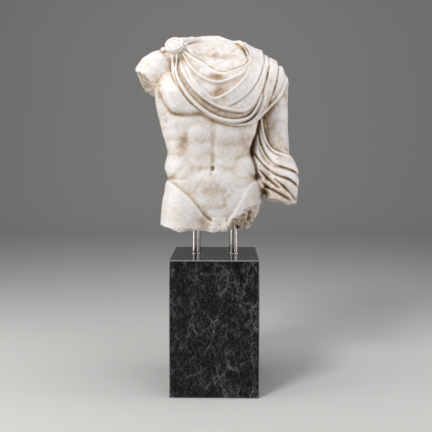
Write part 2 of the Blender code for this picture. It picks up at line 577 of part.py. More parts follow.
def thigh_break(p):
    """Broken front of the left thigh: positive where the stone is gone. Below a jagged line the skin is
    lost, and the break runs back and down from there."""
    x, y, z = p.T
    edge = np.interp(x, (35, 50, 60, 85, 100, 115, 145, 180), (545, 560, 585, 590, 610, 620, 625, 640))
    lost = edge + 3 * noise(p * (1, 0, 1), 13, 9.1) + 2.5 * noise(p * (1, 0, 1), 6, 4.6) - z
    skin = -90 + 0.0036 * np.maximum(x - 70, 0) ** 2
    slope = np.interp(x, (40, 66, 97, 125, 176), (1.5, 1.3, 0.9, 0.75, 0.6))
    back = skin + 6 + slope * lost + THIGH_HOLLOWS(p)
    side = x - np.interp(z, (530, 545, 628, 650), (112, 121, 158, 190))
    face = np.minimum.reduce([np.maximum((back - y) / 1.35, side), lost * 1.6, x - 38, 182 - x])
    return face + rough(p, 26, 7) + flaked(p, 17, 8) + flaked(p, 8, 2.5) - 3


def neck_marks(x, z):
    """Heights on the break of the neck: the swell in front, the pit, and the bands of collar beside it."""
    h = 6 * dab(x, z, (40, 1112), 60, 26) + 30 * dab(x, z, (-104, 1158), 34, 34)
    h += 10 * dab(x, z, (-70, 1150), 34, 30) + 3 * dab(x, z, (10, 1180), 60, 24)
    h -= 4 * dab(x, z, (-14, 1092), 9, 6) + 1.6 * dab(x, z, (0, 1140), 12, 22, 10)
    h -= 1.5 * dab(x, z, (40, 1150), 30, 8, -20)
    d, t = line(x, z, *NECK_CREASE)
    h += (9 * ease(1, -5, d) * ease(-28, -16, d) - 5 * crest(d, 3, 4)) * ease(0, 0.3, t)
    d, t = line(x, z, *LEFT_CREASE)
    return h + (9 * ease(1, -5, d) * ease(-40, -24, d) - 4 * crest(d, 3, 4)) * ease(1, 0.6, t)


NECK_MARKS = Relief(neck_marks)


def neck_break(p):
    """Worn break of the neck: a slope that runs up to the back."""
    slope = beyond(p, NECK_BREAK_LOW, (0, -0.70, 0.72))
    return slope + rough(p, 38, 3) + 0.8 * noise(p, 13, 4.4) - NECK_MARKS(p)


def stub(p):
    """What is left between the thighs: a worn column, wider below, with a lower lobe on its left."""
    x, y, z = p.T
    wide = 20 + 0.12 * (580 - z)
    column = np.maximum.reduce([np.abs(x - 16) - wide, np.abs(y + 68) - 24, z - 581])
    column = column + 2.2 * np.exp(-((x - 24) / 3.5) ** 2) + 1.2 * np.exp(-((x - 1) / 4) ** 2)
    lobe = limb(p, (-6, -78, 562), (-12, -80, 530), 9, 12)
    return join(column, lobe, 5) + rough(p, 18, 2) + flaked(p, 16, 1)


def torso(p):
    x, y, z = p.T
    to_front = ease(48, 0, y)
    d = body(p) - FRONT(p) * to_front - BACK(p) * (1 - to_front)
    d = join(d, ellipsoid(p, (-136, -20, 1148), (34, 34, 34)), 14)
    d = meet(d, np.minimum(neck_break(p), UNDER_NECKLINE(p)), 6)
    d = meet(join(d, collar(p), 7), -UNDER_TOP(p), 4)
    d = np.minimum(d, brooch(p))
    arm = wrapped_arm(p) - FRONT_OF_ARM(p) * ease(24, -26, y) - BACK_OF_ARM(p) * ease(20, 60, y)
    d = join(d, meet(arm, forearm_break(p), 4), 5)
    bridge = (np.abs(p - np.array((164, -12, 706))) - np.array((17, 24, 16))).max(1)
    d = join(d, join(bridge, limb(p, (152, -36, 702), (164, -36, 690), 11, 9), 8) + rough(p, 22, 3), 5)
    d = join(d, stub(p), 11)
    d = np.maximum(d, thigh_break(p))
    low = np.interp(x, (-170, -120, -80, -25, 30, 45, 110, 140), (5, -10, -5, -10, -10, -5, -15, 30))
    low += UNDERSIDE + 18 * np.exp(-((x - 77) / 13) ** 4) * ease(34, 20, y)
    d = meet(d, low + rough(p, 24, 4) - z, 6)
    return d


# ---- meshes ----

def finer(grid, axis):
    """The grid with COARSE - 1 values put in between along an axis."""
    grid = np.moveaxis(grid, axis, 0)
    at = np.arange((len(grid) - 1) * COARSE + 1) / COARSE
    i = np.minimum(at.astype(int), len(grid) - 2)
    f = (at - i).reshape(-1, 1, 1)
    return np.moveaxis(grid[i] * (1 - f) + grid[i + 1] * f, 0, axis)


def skin_of(field):
    """Points and quads of the field's zero level, worked out in full only near it."""
    step = GRID * COARSE
    axes = [np.arange(low, high + step, step) for low, high in zip(GRID_LOW, GRID_HIGH)]
    corners = np.stack(np.meshgrid(*axes, indexing="ij"), -1)
    grid = field(corners.reshape(-1, 3)).reshape(corners.shape[:3])
    for axis in range(3):
        grid = finer(grid, axis)
    near = np.nonzero(np.abs(grid) < 1.3 * step)
    grid[near] = field(np.stack(near, 1) * GRID + np.array(GRID_LOW))
    volume = openvdb.FloatGrid()
    volume.copyFromArray(np.ascontiguousarray(grid, np.float32))
    points, _, quads = volume.convertToPolygons(isovalue=0.0, adaptivity=0.0)
    return points.astype(float) * GRID + np.array(GRID_LOW), quads.astype(int)


def largest_body(points, quads):
    """The biggest connected skin, its points and faces in a fixed order."""
    label = np.arange(len(points))
    ends = np.concatenate([quads[:, [k, (k + 1) % 4]] for k in range(4)])
    while True:
        least = label.copy()
        np.minimum.at(least, ends[:, 0], label[ends[:, 1]])
        np.minimum.at(least, ends[:, 1], label[ends[:, 0]])
        least = least[least]
        if (least == label).all():
            break
        label = least
    quads = quads[label[quads[:, 0]] == np.bincount(label).argmax()]
    used = np.unique(quads)
    order = used[np.lexsort(np.round(points[used], 3).T)]
    place = np.empty(len(points), int)
    place[order] = np.arange(len(order))
    quads = place[quads]
    first = quads.argmin(1)[:, None]
    quads = np.take_along_axis(quads, (first + np.arange(4)) % 4, 1)
    return points[order], quads[np.lexsort(quads.T[::-1])]


def add_object(name, points, faces):
    mesh = bpy.data.meshes.new(name)
    mesh.from_pydata((np.asarray(points) / 1000).tolist(), [], [list(face) for face in faces])
    obj = bpy.data.objects.new(name, mesh)
    bpy.context.scene.collection.objects.link(obj)
    return obj


def turned(name, profile, x):
    """Solid of revolution about an upright axis at X: profile rows of radius and level, bottom up."""
    angle = np.arange(ROUND_SIDES) * 2 * math.pi / ROUND_SIDES
    points = np.concatenate([np.stack([x + r * np.cos(angle), r * np.sin(angle),
                                       np.full(ROUND_SIDES, float(z))], 1) for r, z in profile])
    ring = np.arange(ROUND_SIDES)
    after = (ring + 1) % ROUND_SIDES
    faces = [ring[::-1].tolist(), ((len(profile) - 1) * ROUND_SIDES + ring).tolist()]
    for k in range(len(profile) - 1):
        low, high = k * ROUND_SIDES, (k + 1) * ROUND_SIDES
        faces += np.stack([low + ring, low + after, high + after, high + ring], 1).tolist()
    obj = add_object(name, points, faces)
    obj.data.shade_smooth()
    obj.data.set_sharp_from_angle(angle=math.radians(35))
    return obj


def material(name, colour, roughness, metallic):
    made = bpy.data.materials.new(name)
    made.use_nodes = True
    surface = made.node_tree.nodes["Principled BSDF"]
    surface.inputs["Base Color"].default_value = (*colour, 1)
    surface.inputs["Roughness"].default_value = roughness
    surface.inputs["Metallic"].default_value = metallic
    return made


for old in list(bpy.data.objects):
    bpy.data.objects.remove(old)

points, faces = largest_body(*skin_of(torso))
statue = add_object("torso", points + (0, 0, LEVEL), faces)
thin = statue.modifiers.new("thin", "DECIMATE")
thin.ratio = TORSO_TRIANGLES / (2 * len(statue.data.polygons))
statue.data.materials.append(material("weathered white marble", (0.66, 0.60, 0.52), 0.55, 0.0))

half, top, arris = PLINTH_SIDE / 2, PLINTH_HEIGHT, PLINTH_ARRIS
corners = [(sx * half, sy * half, z) for z in (0, top) for sx, sy in ((-1, -1), (1, -1), (1, 1), (-1, 1))]
plinth = add_object("plinth", corners, [(3, 2, 1, 0), (4, 5, 6, 7), (0, 1, 5, 4), (1, 2, 6, 5),
                                        (2, 3, 7, 6), (3, 0, 4, 7)])
bevel = plinth.modifiers.new("arris", "BEVEL")
bevel.width = arris / 1000
bevel.segments = 1
plinth.data.materials.append(material("polished black marble", (0.02, 0.02, 0.022), 0.12, 0.0))

steel = material("polished steel", (0.56, 0.55, 0.53), 0.22, 1.0)
foot = PLINTH_HEIGHT + CLEARANCE
rod_radius, collar_radius = ROD_DIAMETER / 2, COLLAR_DIAMETER / 2
for name, x in (("rod_left", -ROD_SPACING / 2), ("rod_right", ROD_SPACING / 2)):
    rod = turned(name, ((collar_radius, foot), (collar_radius, foot + COLLAR_THICKNESS - 0.6),
                        (collar_radius - 0.6, foot + COLLAR_THICKNESS), (rod_radius, foot + COLLAR_THICKNESS),
                        (rod_radius, ROD_TOP - 1), (rod_radius - 1, ROD_TOP)), x)
    rod.data.materials.append(steel)
    bore = rod_radius + CLEARANCE
    socket = turned(name + "_socket", ((bore, 490), (bore, ROD_TOP + CLEARANCE)), x)
    socket.hide_render = True
    socket.display_type = "WIRE"
    cut = statue.modifiers.new(name + " socket", "BOOLEAN")
    cut.operation = "DIFFERENCE"
    cut.object = socket
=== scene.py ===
"""Broken marble torso of a youth in a pinned cloak, on two steel rods over a black marble plinth.

The torso, with its cloak and brooch, is one carved stone. It is worked out with numpy as the zero
level of a distance field: round forms give the body, and heights drawn over X and Z lay muscle and
cloth on it. The rods and the plinth are profiles carried round an outline. Shapes are worked out in
millimetres, and every mesh is in metres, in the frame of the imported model.
"""

import math

import bpy
import numpy as np
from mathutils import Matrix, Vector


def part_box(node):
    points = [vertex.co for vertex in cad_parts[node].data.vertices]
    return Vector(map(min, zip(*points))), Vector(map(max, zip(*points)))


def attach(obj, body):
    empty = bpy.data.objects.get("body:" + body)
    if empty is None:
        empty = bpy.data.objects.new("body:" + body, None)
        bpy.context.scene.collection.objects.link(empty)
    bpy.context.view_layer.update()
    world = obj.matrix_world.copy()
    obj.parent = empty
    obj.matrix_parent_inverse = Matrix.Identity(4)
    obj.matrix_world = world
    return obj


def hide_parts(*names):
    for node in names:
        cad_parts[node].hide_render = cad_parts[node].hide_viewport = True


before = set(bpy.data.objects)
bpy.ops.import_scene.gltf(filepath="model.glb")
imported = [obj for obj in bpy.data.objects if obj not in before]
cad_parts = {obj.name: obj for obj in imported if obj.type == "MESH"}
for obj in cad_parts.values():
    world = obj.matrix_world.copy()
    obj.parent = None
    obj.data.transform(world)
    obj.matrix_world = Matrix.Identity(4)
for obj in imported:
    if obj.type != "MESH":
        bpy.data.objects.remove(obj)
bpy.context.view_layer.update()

import openvdb
from mathutils import Vector

# Torso, in millimetres, set out from a level this far above the floor
LEVEL = 10.0
NECK_BREAK_LOW = (-4.0, -58.0, 1098.0)
ARM_BREAK_MIDDLE = (-236.0, 0.0, 1043.5)
FOREARM_BREAK_MIDDLE = (232.0, -20.0, 634.0)
UNDERSIDE = 545.0
BROOCH_CENTRE = (-140.0, -46.0, 1178.0)
BROOCH_RADIUS = 33.0
BROOCH_THICKNESS = 18.0
MANTLE_THICKNESS = 11.0
WEAR = 1.0

# Rods and plinth, in millimetres: how far a collar stands out and up, the rod's top edge, the polished arris
COLLAR_OUT = 3.5
COLLAR_UP = 2.4
ROD_EDGE = 1.2
ROD_SIDES = 96
ARRIS = 2.5

# Floor, in metres: where it starts and bends up, the bend's radius, its top and half width, and how far
# it lies under the plinth so that they share no face
FLOOR_FRONT = -9
FLOOR_BACK = 4
FLOOR_BEND = 2.5
FLOOR_TOP = 8
FLOOR_SIDE = 11
FLOOR_UNDER = 0.0005

# Meshing
REACH = 70.0
GRID = 2.5
COARSE = 4
MARGIN = 24
GRID_LOW, GRID_HIGH = (1000 * np.array(corner) + (side * MARGIN, side * MARGIN, side * MARGIN - LEVEL)
                       for corner, side in zip(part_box("torso"), (-1, 1)))
RELIEF_STEP = GRID / 2
MOST_TRIANGLES = 190000


# ---- numbers ----

def ease(start, end, value):
    """Smooth step: 0 before start, 1 after end, with 3t^2 - 2t^3 between."""
    t = np.clip((value - start) / (end - start), 0, 1)
    return t * t * (3 - 2 * t)


def join(a, b, width):
    """Union of two distances, rounded over the width: the smaller one, less a quarter of the
    squared overlap."""
    h = np.maximum(width - np.abs(a - b), 0) / width
    return np.minimum(a, b) - h * h * width * 0.25


def meet(a, b, width):
    """Intersection of two distances, and the greater of two heights, rounded over the width."""
    return -join(-a, -b, width)


def unit(vector):
    """The vector divided by its length."""
    vector = np.array(vector, float)
    return vector / np.linalg.norm(vector)


def through(places, values, at):
    """Smooth curve through values given at uneven places: cubic Hermite, with central slopes."""
    places, values = np.array(places, float), np.array(values, float)
    slope = np.gradient(values, places)
    i = np.clip(np.searchsorted(places, at) - 1, 0, len(places) - 2)
    gap = places[i + 1] - places[i]
    t = np.clip((at - places[i]) / gap, 0, 1)
    s = 1 - t
    return (s * s * (1 + 2 * t) * values[i] + t * t * (1 + 2 * s) * values[i + 1]
            + t * s * s * gap * slope[i] - t * t * s * gap * slope[i + 1])


LATTICE = np.random.default_rng(7).uniform(-1, 1, (32, 32, 32)).astype(np.float32)


def noise(p, grain, shift=0.0):
    """Smooth value in -1..1, random from one lattice point to the next, eased between them."""
    q = p / grain + shift + 100
    low = np.floor(q).astype(np.int32)
    f = q - low
    f = f * f * (3 - 2 * f)
    low &= 31
    high = (low + 1) & 31
    total = 0
    for corner in range(8):
        pick = [(corner >> k) & 1 for k in range(3)]
        index = [high[:, k] if pick[k] else low[:, k] for k in range(3)]
        weight = [f[:, k] if pick[k] else 1 - f[:, k] for k in range(3)]
        total = total + LATTICE[tuple(index)] * weight[0] * weight[1] * weight[2]
    return total


def rough(p, grain, depth):
    """Broken stone: two sizes of lump."""
    return depth * (0.6 * noise(p, grain) + 0.4 * noise(p, grain * 0.43, 5.3))


def flaked(p, grain, depth):
    """Fresh fracture: ridged lumps, as stone breaks in facets with sharp edges between them."""
    return depth * (1.2 * np.abs(noise(p, grain, 2.2)) + 0.7 * np.abs(noise(p, grain * 0.45, 7.1))
                    + 0.35 * noise(p, grain * 0.2, 3.7) - 0.6)


# ---- solid shapes, as distances from points p (one row each) ----

def ellipsoid(p, centre, radii, lean=0.0):
    """Distance to an ellipsoid, near enough: k0 (k0 - 1) / k1, with k0 and k1 the lengths of q / radii
    and q / radii squared. lean is in degrees about the depth axis, top towards +X."""
    q = p - np.array(centre)
    c, s = math.cos(math.radians(lean)), math.sin(math.radians(lean))
    q = np.stack([c * q[:, 0] - s * q[:, 2], q[:, 1], s * q[:, 0] + c * q[:, 2]], 1)
    near = np.sqrt(((q / radii) ** 2).sum(1))
    return near * (near - 1) / np.maximum(np.sqrt(((q / np.square(radii)) ** 2).sum(1)), 1e-6)


def limb(p, start, end, first_radius, last_radius):
    """Round bar between two points, its radius changing along it."""
    start, along = np.array(start, float), np.subtract(end, start).astype(float)
    q = p - start
    t = np.clip(q @ along / (along @ along), 0, 1)
    return np.linalg.norm(q - t[:, None] * along, axis=1) - first_radius - (last_radius - first_radius) * t


def beyond(p, point, normal):
    """Height above a plane."""
    return (p - np.array(point)) @ unit(normal)


class Loft:
    """Superellipse sections stacked in Z, |x/a|^n + |y/b|^n = 1: rows of level, left, right, front, back."""

    def __init__(self, power, *rows):
        self.power = power
        self.levels = np.arange(rows[0][0], rows[-1][0] + 1, 2.0)
        table = np.array(rows, float).T
        self.sides = [through(table[0], side, self.levels) for side in table[1:]]

    def __call__(self, p):
        left, right, front, back = (np.interp(p[:, 2], self.levels, side) for side in self.sides)
        x, y = p[:, 0] - (left + right) / 2, p[:, 1] - (front + back) / 2
        shape = (np.abs(2 * x / (right - left)) ** self.power
                 + np.abs(2 * y / (back - front)) ** self.power) ** (1 / self.power)
        radius = np.hypot(x, y)
        return radius - radius / np.maximum(shape, 1e-3)


TRUNK = Loft(
    2.4,
    (500, -180, 110, -70, 100), (570, -190, 140, -85, 130), (640, -180, 165, -100, 130),
    (675, -170, 165, -100, 120), (710, -165, 150, -105, 105), (755, -170, 140, -100, 85),
    (800, -165, 125, -100, 80), (880, -185, 145, -110, 95), (970, -200, 170, -115, 110),
    (1010, -195, 180, -115, 115), (1050, -180, 180, -100, 115), (1140, -125, 110, -55, 90),
    (1250, -100, 75, -20, 65))
FOREARM = Loft(
    2.3,
    (600, 195, 285, -70, 45), (650, 180, 285, -85, 55), (700, 180, 290, -85, 60),
    (770, 170, 280, -65, 60), (800, 170, 265, -50, 60), (840, 170, 260, -30, 55))


def arm_break(p):
    """Break of the right arm: positive beyond a plane, and in front below a jagged line, from where it
    runs back and down."""
    x, y, z = p.T
    lost = np.interp(x, (-275, -250, -215, -185), (1090, 1075, 1050, 1035)) - z
    skin = np.interp(x, (-275, -258, -233, -200), (12, -20, -45, -58))
    return meet(beyond(p, ARM_BREAK_MIDDLE, (-0.62, -0.29, -0.72)),
                np.minimum(lost, (skin + 1.3 * lost - y) / 1.6), 4) + rough(p, 30, 5) + flaked(p, 14, 5) - 3


def body(p):
    """Trunk, shoulders, arms and thighs before muscle and cloth are laid on."""
    d = TRUNK(p)
    stump = join(ellipsoid(p, (-198, 12, 1088), (80, 66, 75)),
                 limb(p, (-200, 10, 1088), (-268, 0, 1000), 65, 60), 20)
    d = join(d, meet(stump, arm_break(p), 2), 30)
    d = join(d, ellipsoid(p, (-122, 30, 1136), (88, 56, 42), -20), 30)
    d = join(d, limb(p, (194, 20, 1052), (204, 16, 940), 60, 46), 30)
    d = join(d, limb(p, (204, 16, 940), (213, 14, 800), 46, 45), 14)
    d = join(d, ellipsoid(p, (112, 28, 1120), (118, 58, 54), 28), 30)
    d = join(d, ellipsoid(p, (-100, -60, 1010), (98, 50, 72), -16), 46)
    d = join(d, ellipsoid(p, (88, -60, 1006), (98, 50, 72), 14), 46)
    d = join(d, limb(p, (-94, -8, 680), (-108, -14, 500), 77, 83), 22)
    d = join(d, limb(p, (80, -10, 672), (60, -14, 500), 80, 75), 22)
    d = join(d, ellipsoid(p, (-92, 78, 610), (84, 68, 74)), 24)
    return join(d, ellipsoid(p, (74, 78, 622), (84, 68, 74)), 24)


def wrapped_arm(p):
    """Cloth round the left forearm, and the web of cloth between it and the trunk."""
    d = meet(FOREARM(p), p[:, 2] - 815, 30)
    d = join(d, limb(p, (164, 4, 960), (156, 0, 752), 26, 40), 26)
    d = join(d, limb(p, (156, 0, 752), (166, -4, 692), 40, 30), 20)
    return join(d, limb(p, (124, 50, 970), (140, 42, 752), 42, 40), 30)


def forearm_break(p):
    """Height below the plane where the forearm broke off, with a lip in front."""
    lip = 11 * np.exp(-((p[:, 0] - 252) / 22) ** 2) * ease(-20, -60, p[:, 1])
    return beyond(p, FOREARM_BREAK_MIDDLE, (-0.10, -0.12, -0.985)) - lip + rough(p, 26, 4) + flaked(p, 12, 2)


# ---- relief, drawn on the X-Z plane and laid on the front or the back ----

class Relief:
    """Height in millimetres over a raster of X and Z, read between its cells by straight lines."""

    def __init__(self, draw):
        self.low = (GRID_LOW[0] - 20, GRID_LOW[2] - 20)
        high = (GRID_HIGH[0] + 20, GRID_HIGH[2] + 20)
        self.x, self.z = np.meshgrid(np.arange(self.low[0], high[0], RELIEF_STEP),
                                     np.arange(self.low[1], high[1], RELIEF_STEP), indexing="ij")
        self.height = draw(self.x, self.z)

    def __call__(self, p):
        u = np.clip((p[:, 0] - self.low[0]) / RELIEF_STEP, 0, self.height.shape[0] - 1.01)
        v = np.clip((p[:, 2] - self.low[1]) / RELIEF_STEP, 0, self.height.shape[1] - 1.01)
        i, j = u.astype(int), v.astype(int)
        f, g = u - i, v - j
        h = self.height
        return ((h[i, j] * (1 - f) + h[i + 1, j] * f) * (1 - g)
                + (h[i, j + 1] * (1 - f) + h[i + 1, j + 1] * f) * g)


def swag(x, z, start, low, end, left_power, right_power):
    """Line of cloth hanging between two points: two quarter superellipses, upright at the ends and
    level at the low point. Gives the distance below the line, and the place along it: 0, 1, 2."""
    halves = []
    for top, power in ((start, left_power), (end, right_power)):
        wide, deep = abs(low[0] - top[0]), top[1] - low[1]
        a = np.maximum(np.abs(low[0] - x) / wide, 1e-4)
        b = np.maximum((top[1] - z) / deep, 1e-4)
        size = (a ** power + b ** power) ** (1 / power)
        slope = size ** (1 - power) * np.hypot(a ** (power - 1) / wide, b ** (power - 1) / deep)
        halves.append(((size - 1) / slope, np.arctan2(b, a) * 2 / math.pi))
    left = x < low[0]
    return (np.where(left, halves[0][0], halves[1][0]),
            np.where(left, halves[0][1], 2 - halves[1][1]))


def curve(*points):
    """Places about 9 mm apart on a smooth line through a few points."""
    points = np.array(points, float)
    run = np.concatenate([[0], np.cumsum(np.hypot(*np.diff(points, axis=0).T))])
    steps = np.linspace(0, run[-1], max(8, int(run[-1] / 9)))
    return np.stack([through(run, points[:, 0], steps), through(run, points[:, 1], steps)], 1)


def line(x, z, *points):
    """Smooth line through the points: the distance below it, going right, and the place along it,
    0 to 1. It is worked out only within REACH of the points, and is far away elsewhere."""
    px, pz = curve(*points).T
    i = slice(*np.searchsorted(x[:, 0], (px.min() - REACH, px.max() + REACH)))
    j = slice(*np.searchsorted(z[0], (pz.min() - REACH, pz.max() + REACH)))
    gx, gz = x[i, j], z[i, j]
    best, below, place = np.full(gx.shape, 1e9), np.zeros(gx.shape), np.zeros(gx.shape)
    for k in range(len(px) - 1):
        dx, dz = px[k + 1] - px[k], pz[k + 1] - pz[k]
        t = np.clip(((gx - px[k]) * dx + (gz - pz[k]) * dz) / (dx * dx + dz * dz), 0, 1)
        ex, ez = gx - px[k] - t * dx, gz - pz[k] - t * dz
        d = np.hypot(ex, ez)
        nearer = d < best
        best = np.where(nearer, d, best)
        below = np.where(nearer, np.sign(ex * dz - ez * dx), below)
        place = np.where(nearer, (k + t) / (len(px) - 1), place)
    far, along = np.full(x.shape, 4.0 * REACH), np.zeros(x.shape)
    far[i, j], along[i, j] = best * np.where(below == 0, 1, below), place
    return far, along


def inside(x, z, *corners):
    """Distance to the edge of a closed outline, counted positive inside it: even-odd crossings of a
    level ray give the side."""
    corners = np.array(corners, float)
    after = np.roll(corners, -1, axis=0)
    within, best = np.zeros(x.shape, bool), np.full(x.shape, 1e9)
    for (ax, az), (bx, bz) in zip(corners, after):
        t = np.clip(((x - ax) * (bx - ax) + (z - az) * (bz - az)) / ((bx - ax) ** 2 + (bz - az) ** 2), 0, 1)
        best = np.minimum(best, np.hypot(x - ax - t * (bx - ax), z - az - t * (bz - az)))
        if az != bz:
            within ^= ((az > z) != (bz > z)) & (x < ax + (z - az) * (bx - ax) / (bz - az))
    return np.where(within, best, -best)


def crest(d, above, below, power=2.0):
    """Ridge: 1 on the line, fading over a width above and a width below it."""
    return np.exp(-(np.abs(d) / np.where(d < 0, above, below)) ** power)


def lap(d, rise, fall, before, after):
    """Edge where one fold lies over the next: the cloth climbs to the edge, drops, and levels out."""
    side = ease(-2.5, 2.5, d)
    return ((1 - side) * rise * np.exp(np.minimum(d, 0) / before)
            - side * fall * np.exp(-np.maximum(d, 0) / after))


def roll(d, half_width):
    """Round-topped section."""
    return np.maximum(1 - (d / half_width) ** 2, 0) ** 0.7


def mound(x, z, centre, wide, low, high, lean=0.0, square=2.4, top=2.0, edge=1.2):
    """Muscle: (1 - r^top)^edge, r the superelliptic distance, so 1 in the middle and 0 at its outline,
    with its own reach downwards and upwards."""
    c, s = math.cos(math.radians(lean)), math.sin(math.radians(lean))
    u, v = (x - centre[0]) * c - (z - centre[1]) * s, (x - centre[0]) * s + (z - centre[1]) * c
    r = (np.abs(u / wide) ** square + np.abs(v / np.where(v < 0, low, high)) ** square) ** (1 / square)
    return np.maximum(1 - r ** top, 0) ** edge


def dab(x, z, centre, wide, tall, lean=0.0):
    """Soft round patch: exp(-(u/wide)^2 - (v/tall)^2)."""
    c, s = math.cos(math.radians(lean)), math.sin(math.radians(lean))
    u, v = (x - centre[0]) * c - (z - centre[1]) * s, (x - centre[0]) * s + (z - centre[1]) * c
    return np.exp(-(u / wide) ** 2 - (v / tall) ** 2)


# Lines of the cloak over the chest, in X and Z, from the brooch to the left shoulder. Each is a curve
# through the few places where it turns, given on a 5 mm step.
NECKLINE = ((-115, 1165), (-75, 1135), (-35, 1110), (0, 1085), (25, 1075), (65, 1085), (105, 1105),
            (120, 1135), (100, 1185))
FIRST_FOLD = ((-110, 1145), (-75, 1090), (-35, 1055), (10, 1040), (50, 1050), (90, 1070), (115, 1100))
SECOND_FOLD = ((-110, 1135), (-75, 1055), (-40, 1010), (0, 985), (40, 1000), (80, 1030), (110, 1070),
               (120, 1110))
THIRD_FOLD = ((-120, 1135), (-110, 1090), (-85, 1040), (-40, 990), (20, 955), (65, 945), (105, 945),
              (135, 975), (160, 1030), (175, 1105), (175, 1140))
LOW_ROLL = ((-130, 1140), (-130, 1080), (-105, 1020), (-55, 960), (25, 915), (80, 910), (120, 925),
            (150, 970), (165, 1025))
BESIDE_ROLL = ((-145, 1140), (-140, 1100), (-130, 1070))
LAST_ROLL = ((65, 900), (100, 900), (130, 915), (160, 955), (180, 1010))
LOWER_EDGE = ((-150, 1140), (-150, 1100), (-125, 1030), (-80, 965), (-40, 935), (20, 905), (85, 895),
              (125, 900), (155, 920))
ARM_HEM = ((155, 920), (190, 955), (235, 1005), (255, 1050))
RECESS_FOLD = ((65, 930), (90, 930), (120, 945))
FIRST_LAP = ((35, 955), (70, 970), (100, 990), (135, 1030), (160, 1085), (170, 1140), (170, 1190))
SECOND_LAP = ((120, 940), (145, 970), (160, 1010), (180, 1070), (190, 1115), (190, 1160))
THIRD_LAP = ((60, 905), (100, 905), (125, 920), (145, 950), (160, 985), (170, 1025))
FOURTH_LAP = ((175, 955), (195, 1005), (210, 1050), (220, 1100), (220, 1130))
NECK_CREASE = ((60, 1200), (95, 1175), (110, 1140))
LEFT_CREASE = ((-110, 1170), (-80, 1195), (-60, 1205))
PECTORAL = ((-185, 1015), (-165, 970), (-140, 940), (-100, 930), (-15, 940))
VALLEY = ((150, 915), (145, 870), (130, 815), (140, 770), (150, 715))


def muscles(x, z):
    """Front of the body: low mounds with soft creases between them."""
    d, t = line(x, z, *PECTORAL)
    within = ease(-186, -150, x)
    h = 14 * ease(5, -20, d) * ease(-150, -40, d) * (within + 0.4 * (1 - within) * ease(1016, 985, z))
    h *= (d < 3 * REACH) * ease(30, -30, x) * ease(1076, 1000, z)
    h -= 3 * crest(d - 1, 6, 8) * ease(0, 0.1, t) * ease(0.75, 0.45, t)
    d, _ = line(x, z, *VALLEY)
    h -= 4 * crest(d, 6, 6)
    h += 1.6 * dab(x, z, (-131, 957), 4.5, 4.5) + 1.0 * dab(x, z, (-131, 957), 11, 9)
    h += 3 * mound(x, z, (-140, 900), 48, 50, 40, 24) + 3 * mound(x, z, (128, 892), 44, 46, 40, -24)
    ribs = np.sin((z + 0.45 * np.abs(x) - 0.0012 * x * x) / 36 * 2 * math.pi)
    h += 0.8 * ribs * (dab(x, z, (-150, 870), 34, 60) + dab(x, z, (128, 866), 26, 54))
    h += 5.2 * mound(x, z, (-54, 872), 44, 38, 30, -16, 2.2, 2.0, 1.7)
    h += 3.0 * mound(x, z, (-48, 820), 44, 30, 26, -10, 2.2, 2.0, 1.6)
    h += 2.2 * mound(x, z, (-50, 778), 44, 24, 24, -6, 2.2, 2.0, 1.6)
    h += 3.8 * mound(x, z, (42, 864), 46, 36, 34, 12, 2.2, 2.0, 1.7)
    h += 2.6 * mound(x, z, (40, 810), 44, 30, 28, 8, 2.2, 2.0, 1.6)
    h += 2.2 * mound(x, z, (38, 772), 42, 24, 24, 0, 2.2, 2.0, 1.6)
    h -= 3.2 * dab(x, z, (-106, 838), 20, 34, 14) + 2.2 * dab(x, z, (98, 838), 17, 34, -14)
    d, t = line(x, z, (-104, 820), (-98, 852), (-88, 880), (-66, 900), (-38, 908), (-14, 902))
    h -= 1.3 * crest(d, 11, 7) * ease(1, 0.6, t) * ease(0, 0.3, t)
    h -= 2.0 * dab(x, z, (-8, 908), 18, 22)
    h += 9 * mound(x, z, (-136, 752), 60, 34, 50, 10, 2.4, 2.2, 1.3)
    h += 7 * mound(x, z, (118, 752), 54, 32, 46, -12, 2.4, 2.2, 1.3)
    d, t = line(x, z, (-172, 708), (-150, 720), (-128, 736), (-104, 756), (-84, 772))
    h -= 2.4 * crest(d, 6, 8) * ease(1, 0.5, t)
    d, t = line(x, z, (158, 716), (138, 724), (118, 736), (98, 754))
    h -= 2.0 * crest(d, 8, 6) * ease(1, 0.5, t)
    h += 8 * mound(x, z, (-4, 692), 82, 80, 66, 0, 2.1, 2.0, 1.3) + 3 * mound(x, z, (12, 594), 40, 26, 22)
    h += 4 * mound(x, z, (-112, 620), 82, 80, 66, 34) + 4 * mound(x, z, (98, 632), 62, 60, 56, -34)
    d, t = line(x, z, (-186, 722), (-158, 710), (-115, 681), (-77, 649), (-50, 614), (-30, 590), (-12, 574))
    h -= (3.5 + 2.5 * t) * crest(d, 16, 4.5) * ease(0, 0.12, t)
    d, t = line(x, z, (38, 574), (56, 598), (74, 622), (89, 653), (110, 692), (146, 716), (170, 724))
    h -= (5 - 2 * t) * crest(d, 16, 5) * ease(1, 0.86, t)
    d, t = line(x, z, (-44, 628), (-22, 616), (6, 611), (32, 616), (54, 628))
    h -= 1.2 * crest(d, 14, 12) * ease(0, 0.35, t) * ease(1, 0.65, t)
    for points in (((-23, 730), (-42, 714), (-59, 688), (-84, 659)),
                   ((40, 712), (48, 694), (62, 672), (79, 655))):
        d, t = line(x, z, *points)
        h -= 1.1 * crest(d, 3.5, 3.5) * ease(0, 0.3, t) * ease(1, 0.7, t)
    d, t = line(x, z, (-4, 930), (-6, 880), (-6, 820), (-6, 764))
    h -= (1.0 + 0.7 * ease(0.45, 1, t)) * crest(d, 9, 9) * ease(0, 0.2, t)
    h += 2.4 * dab(x, z, (14, 764), 14, 16) + 1.8 * dab(x, z, (2, 734), 16, 11)
    h += 1.4 * dab(x, z, (-24, 762), 12, 15)
    return h - 9 * dab(x, z, (-6, 752), 6.5, 7)


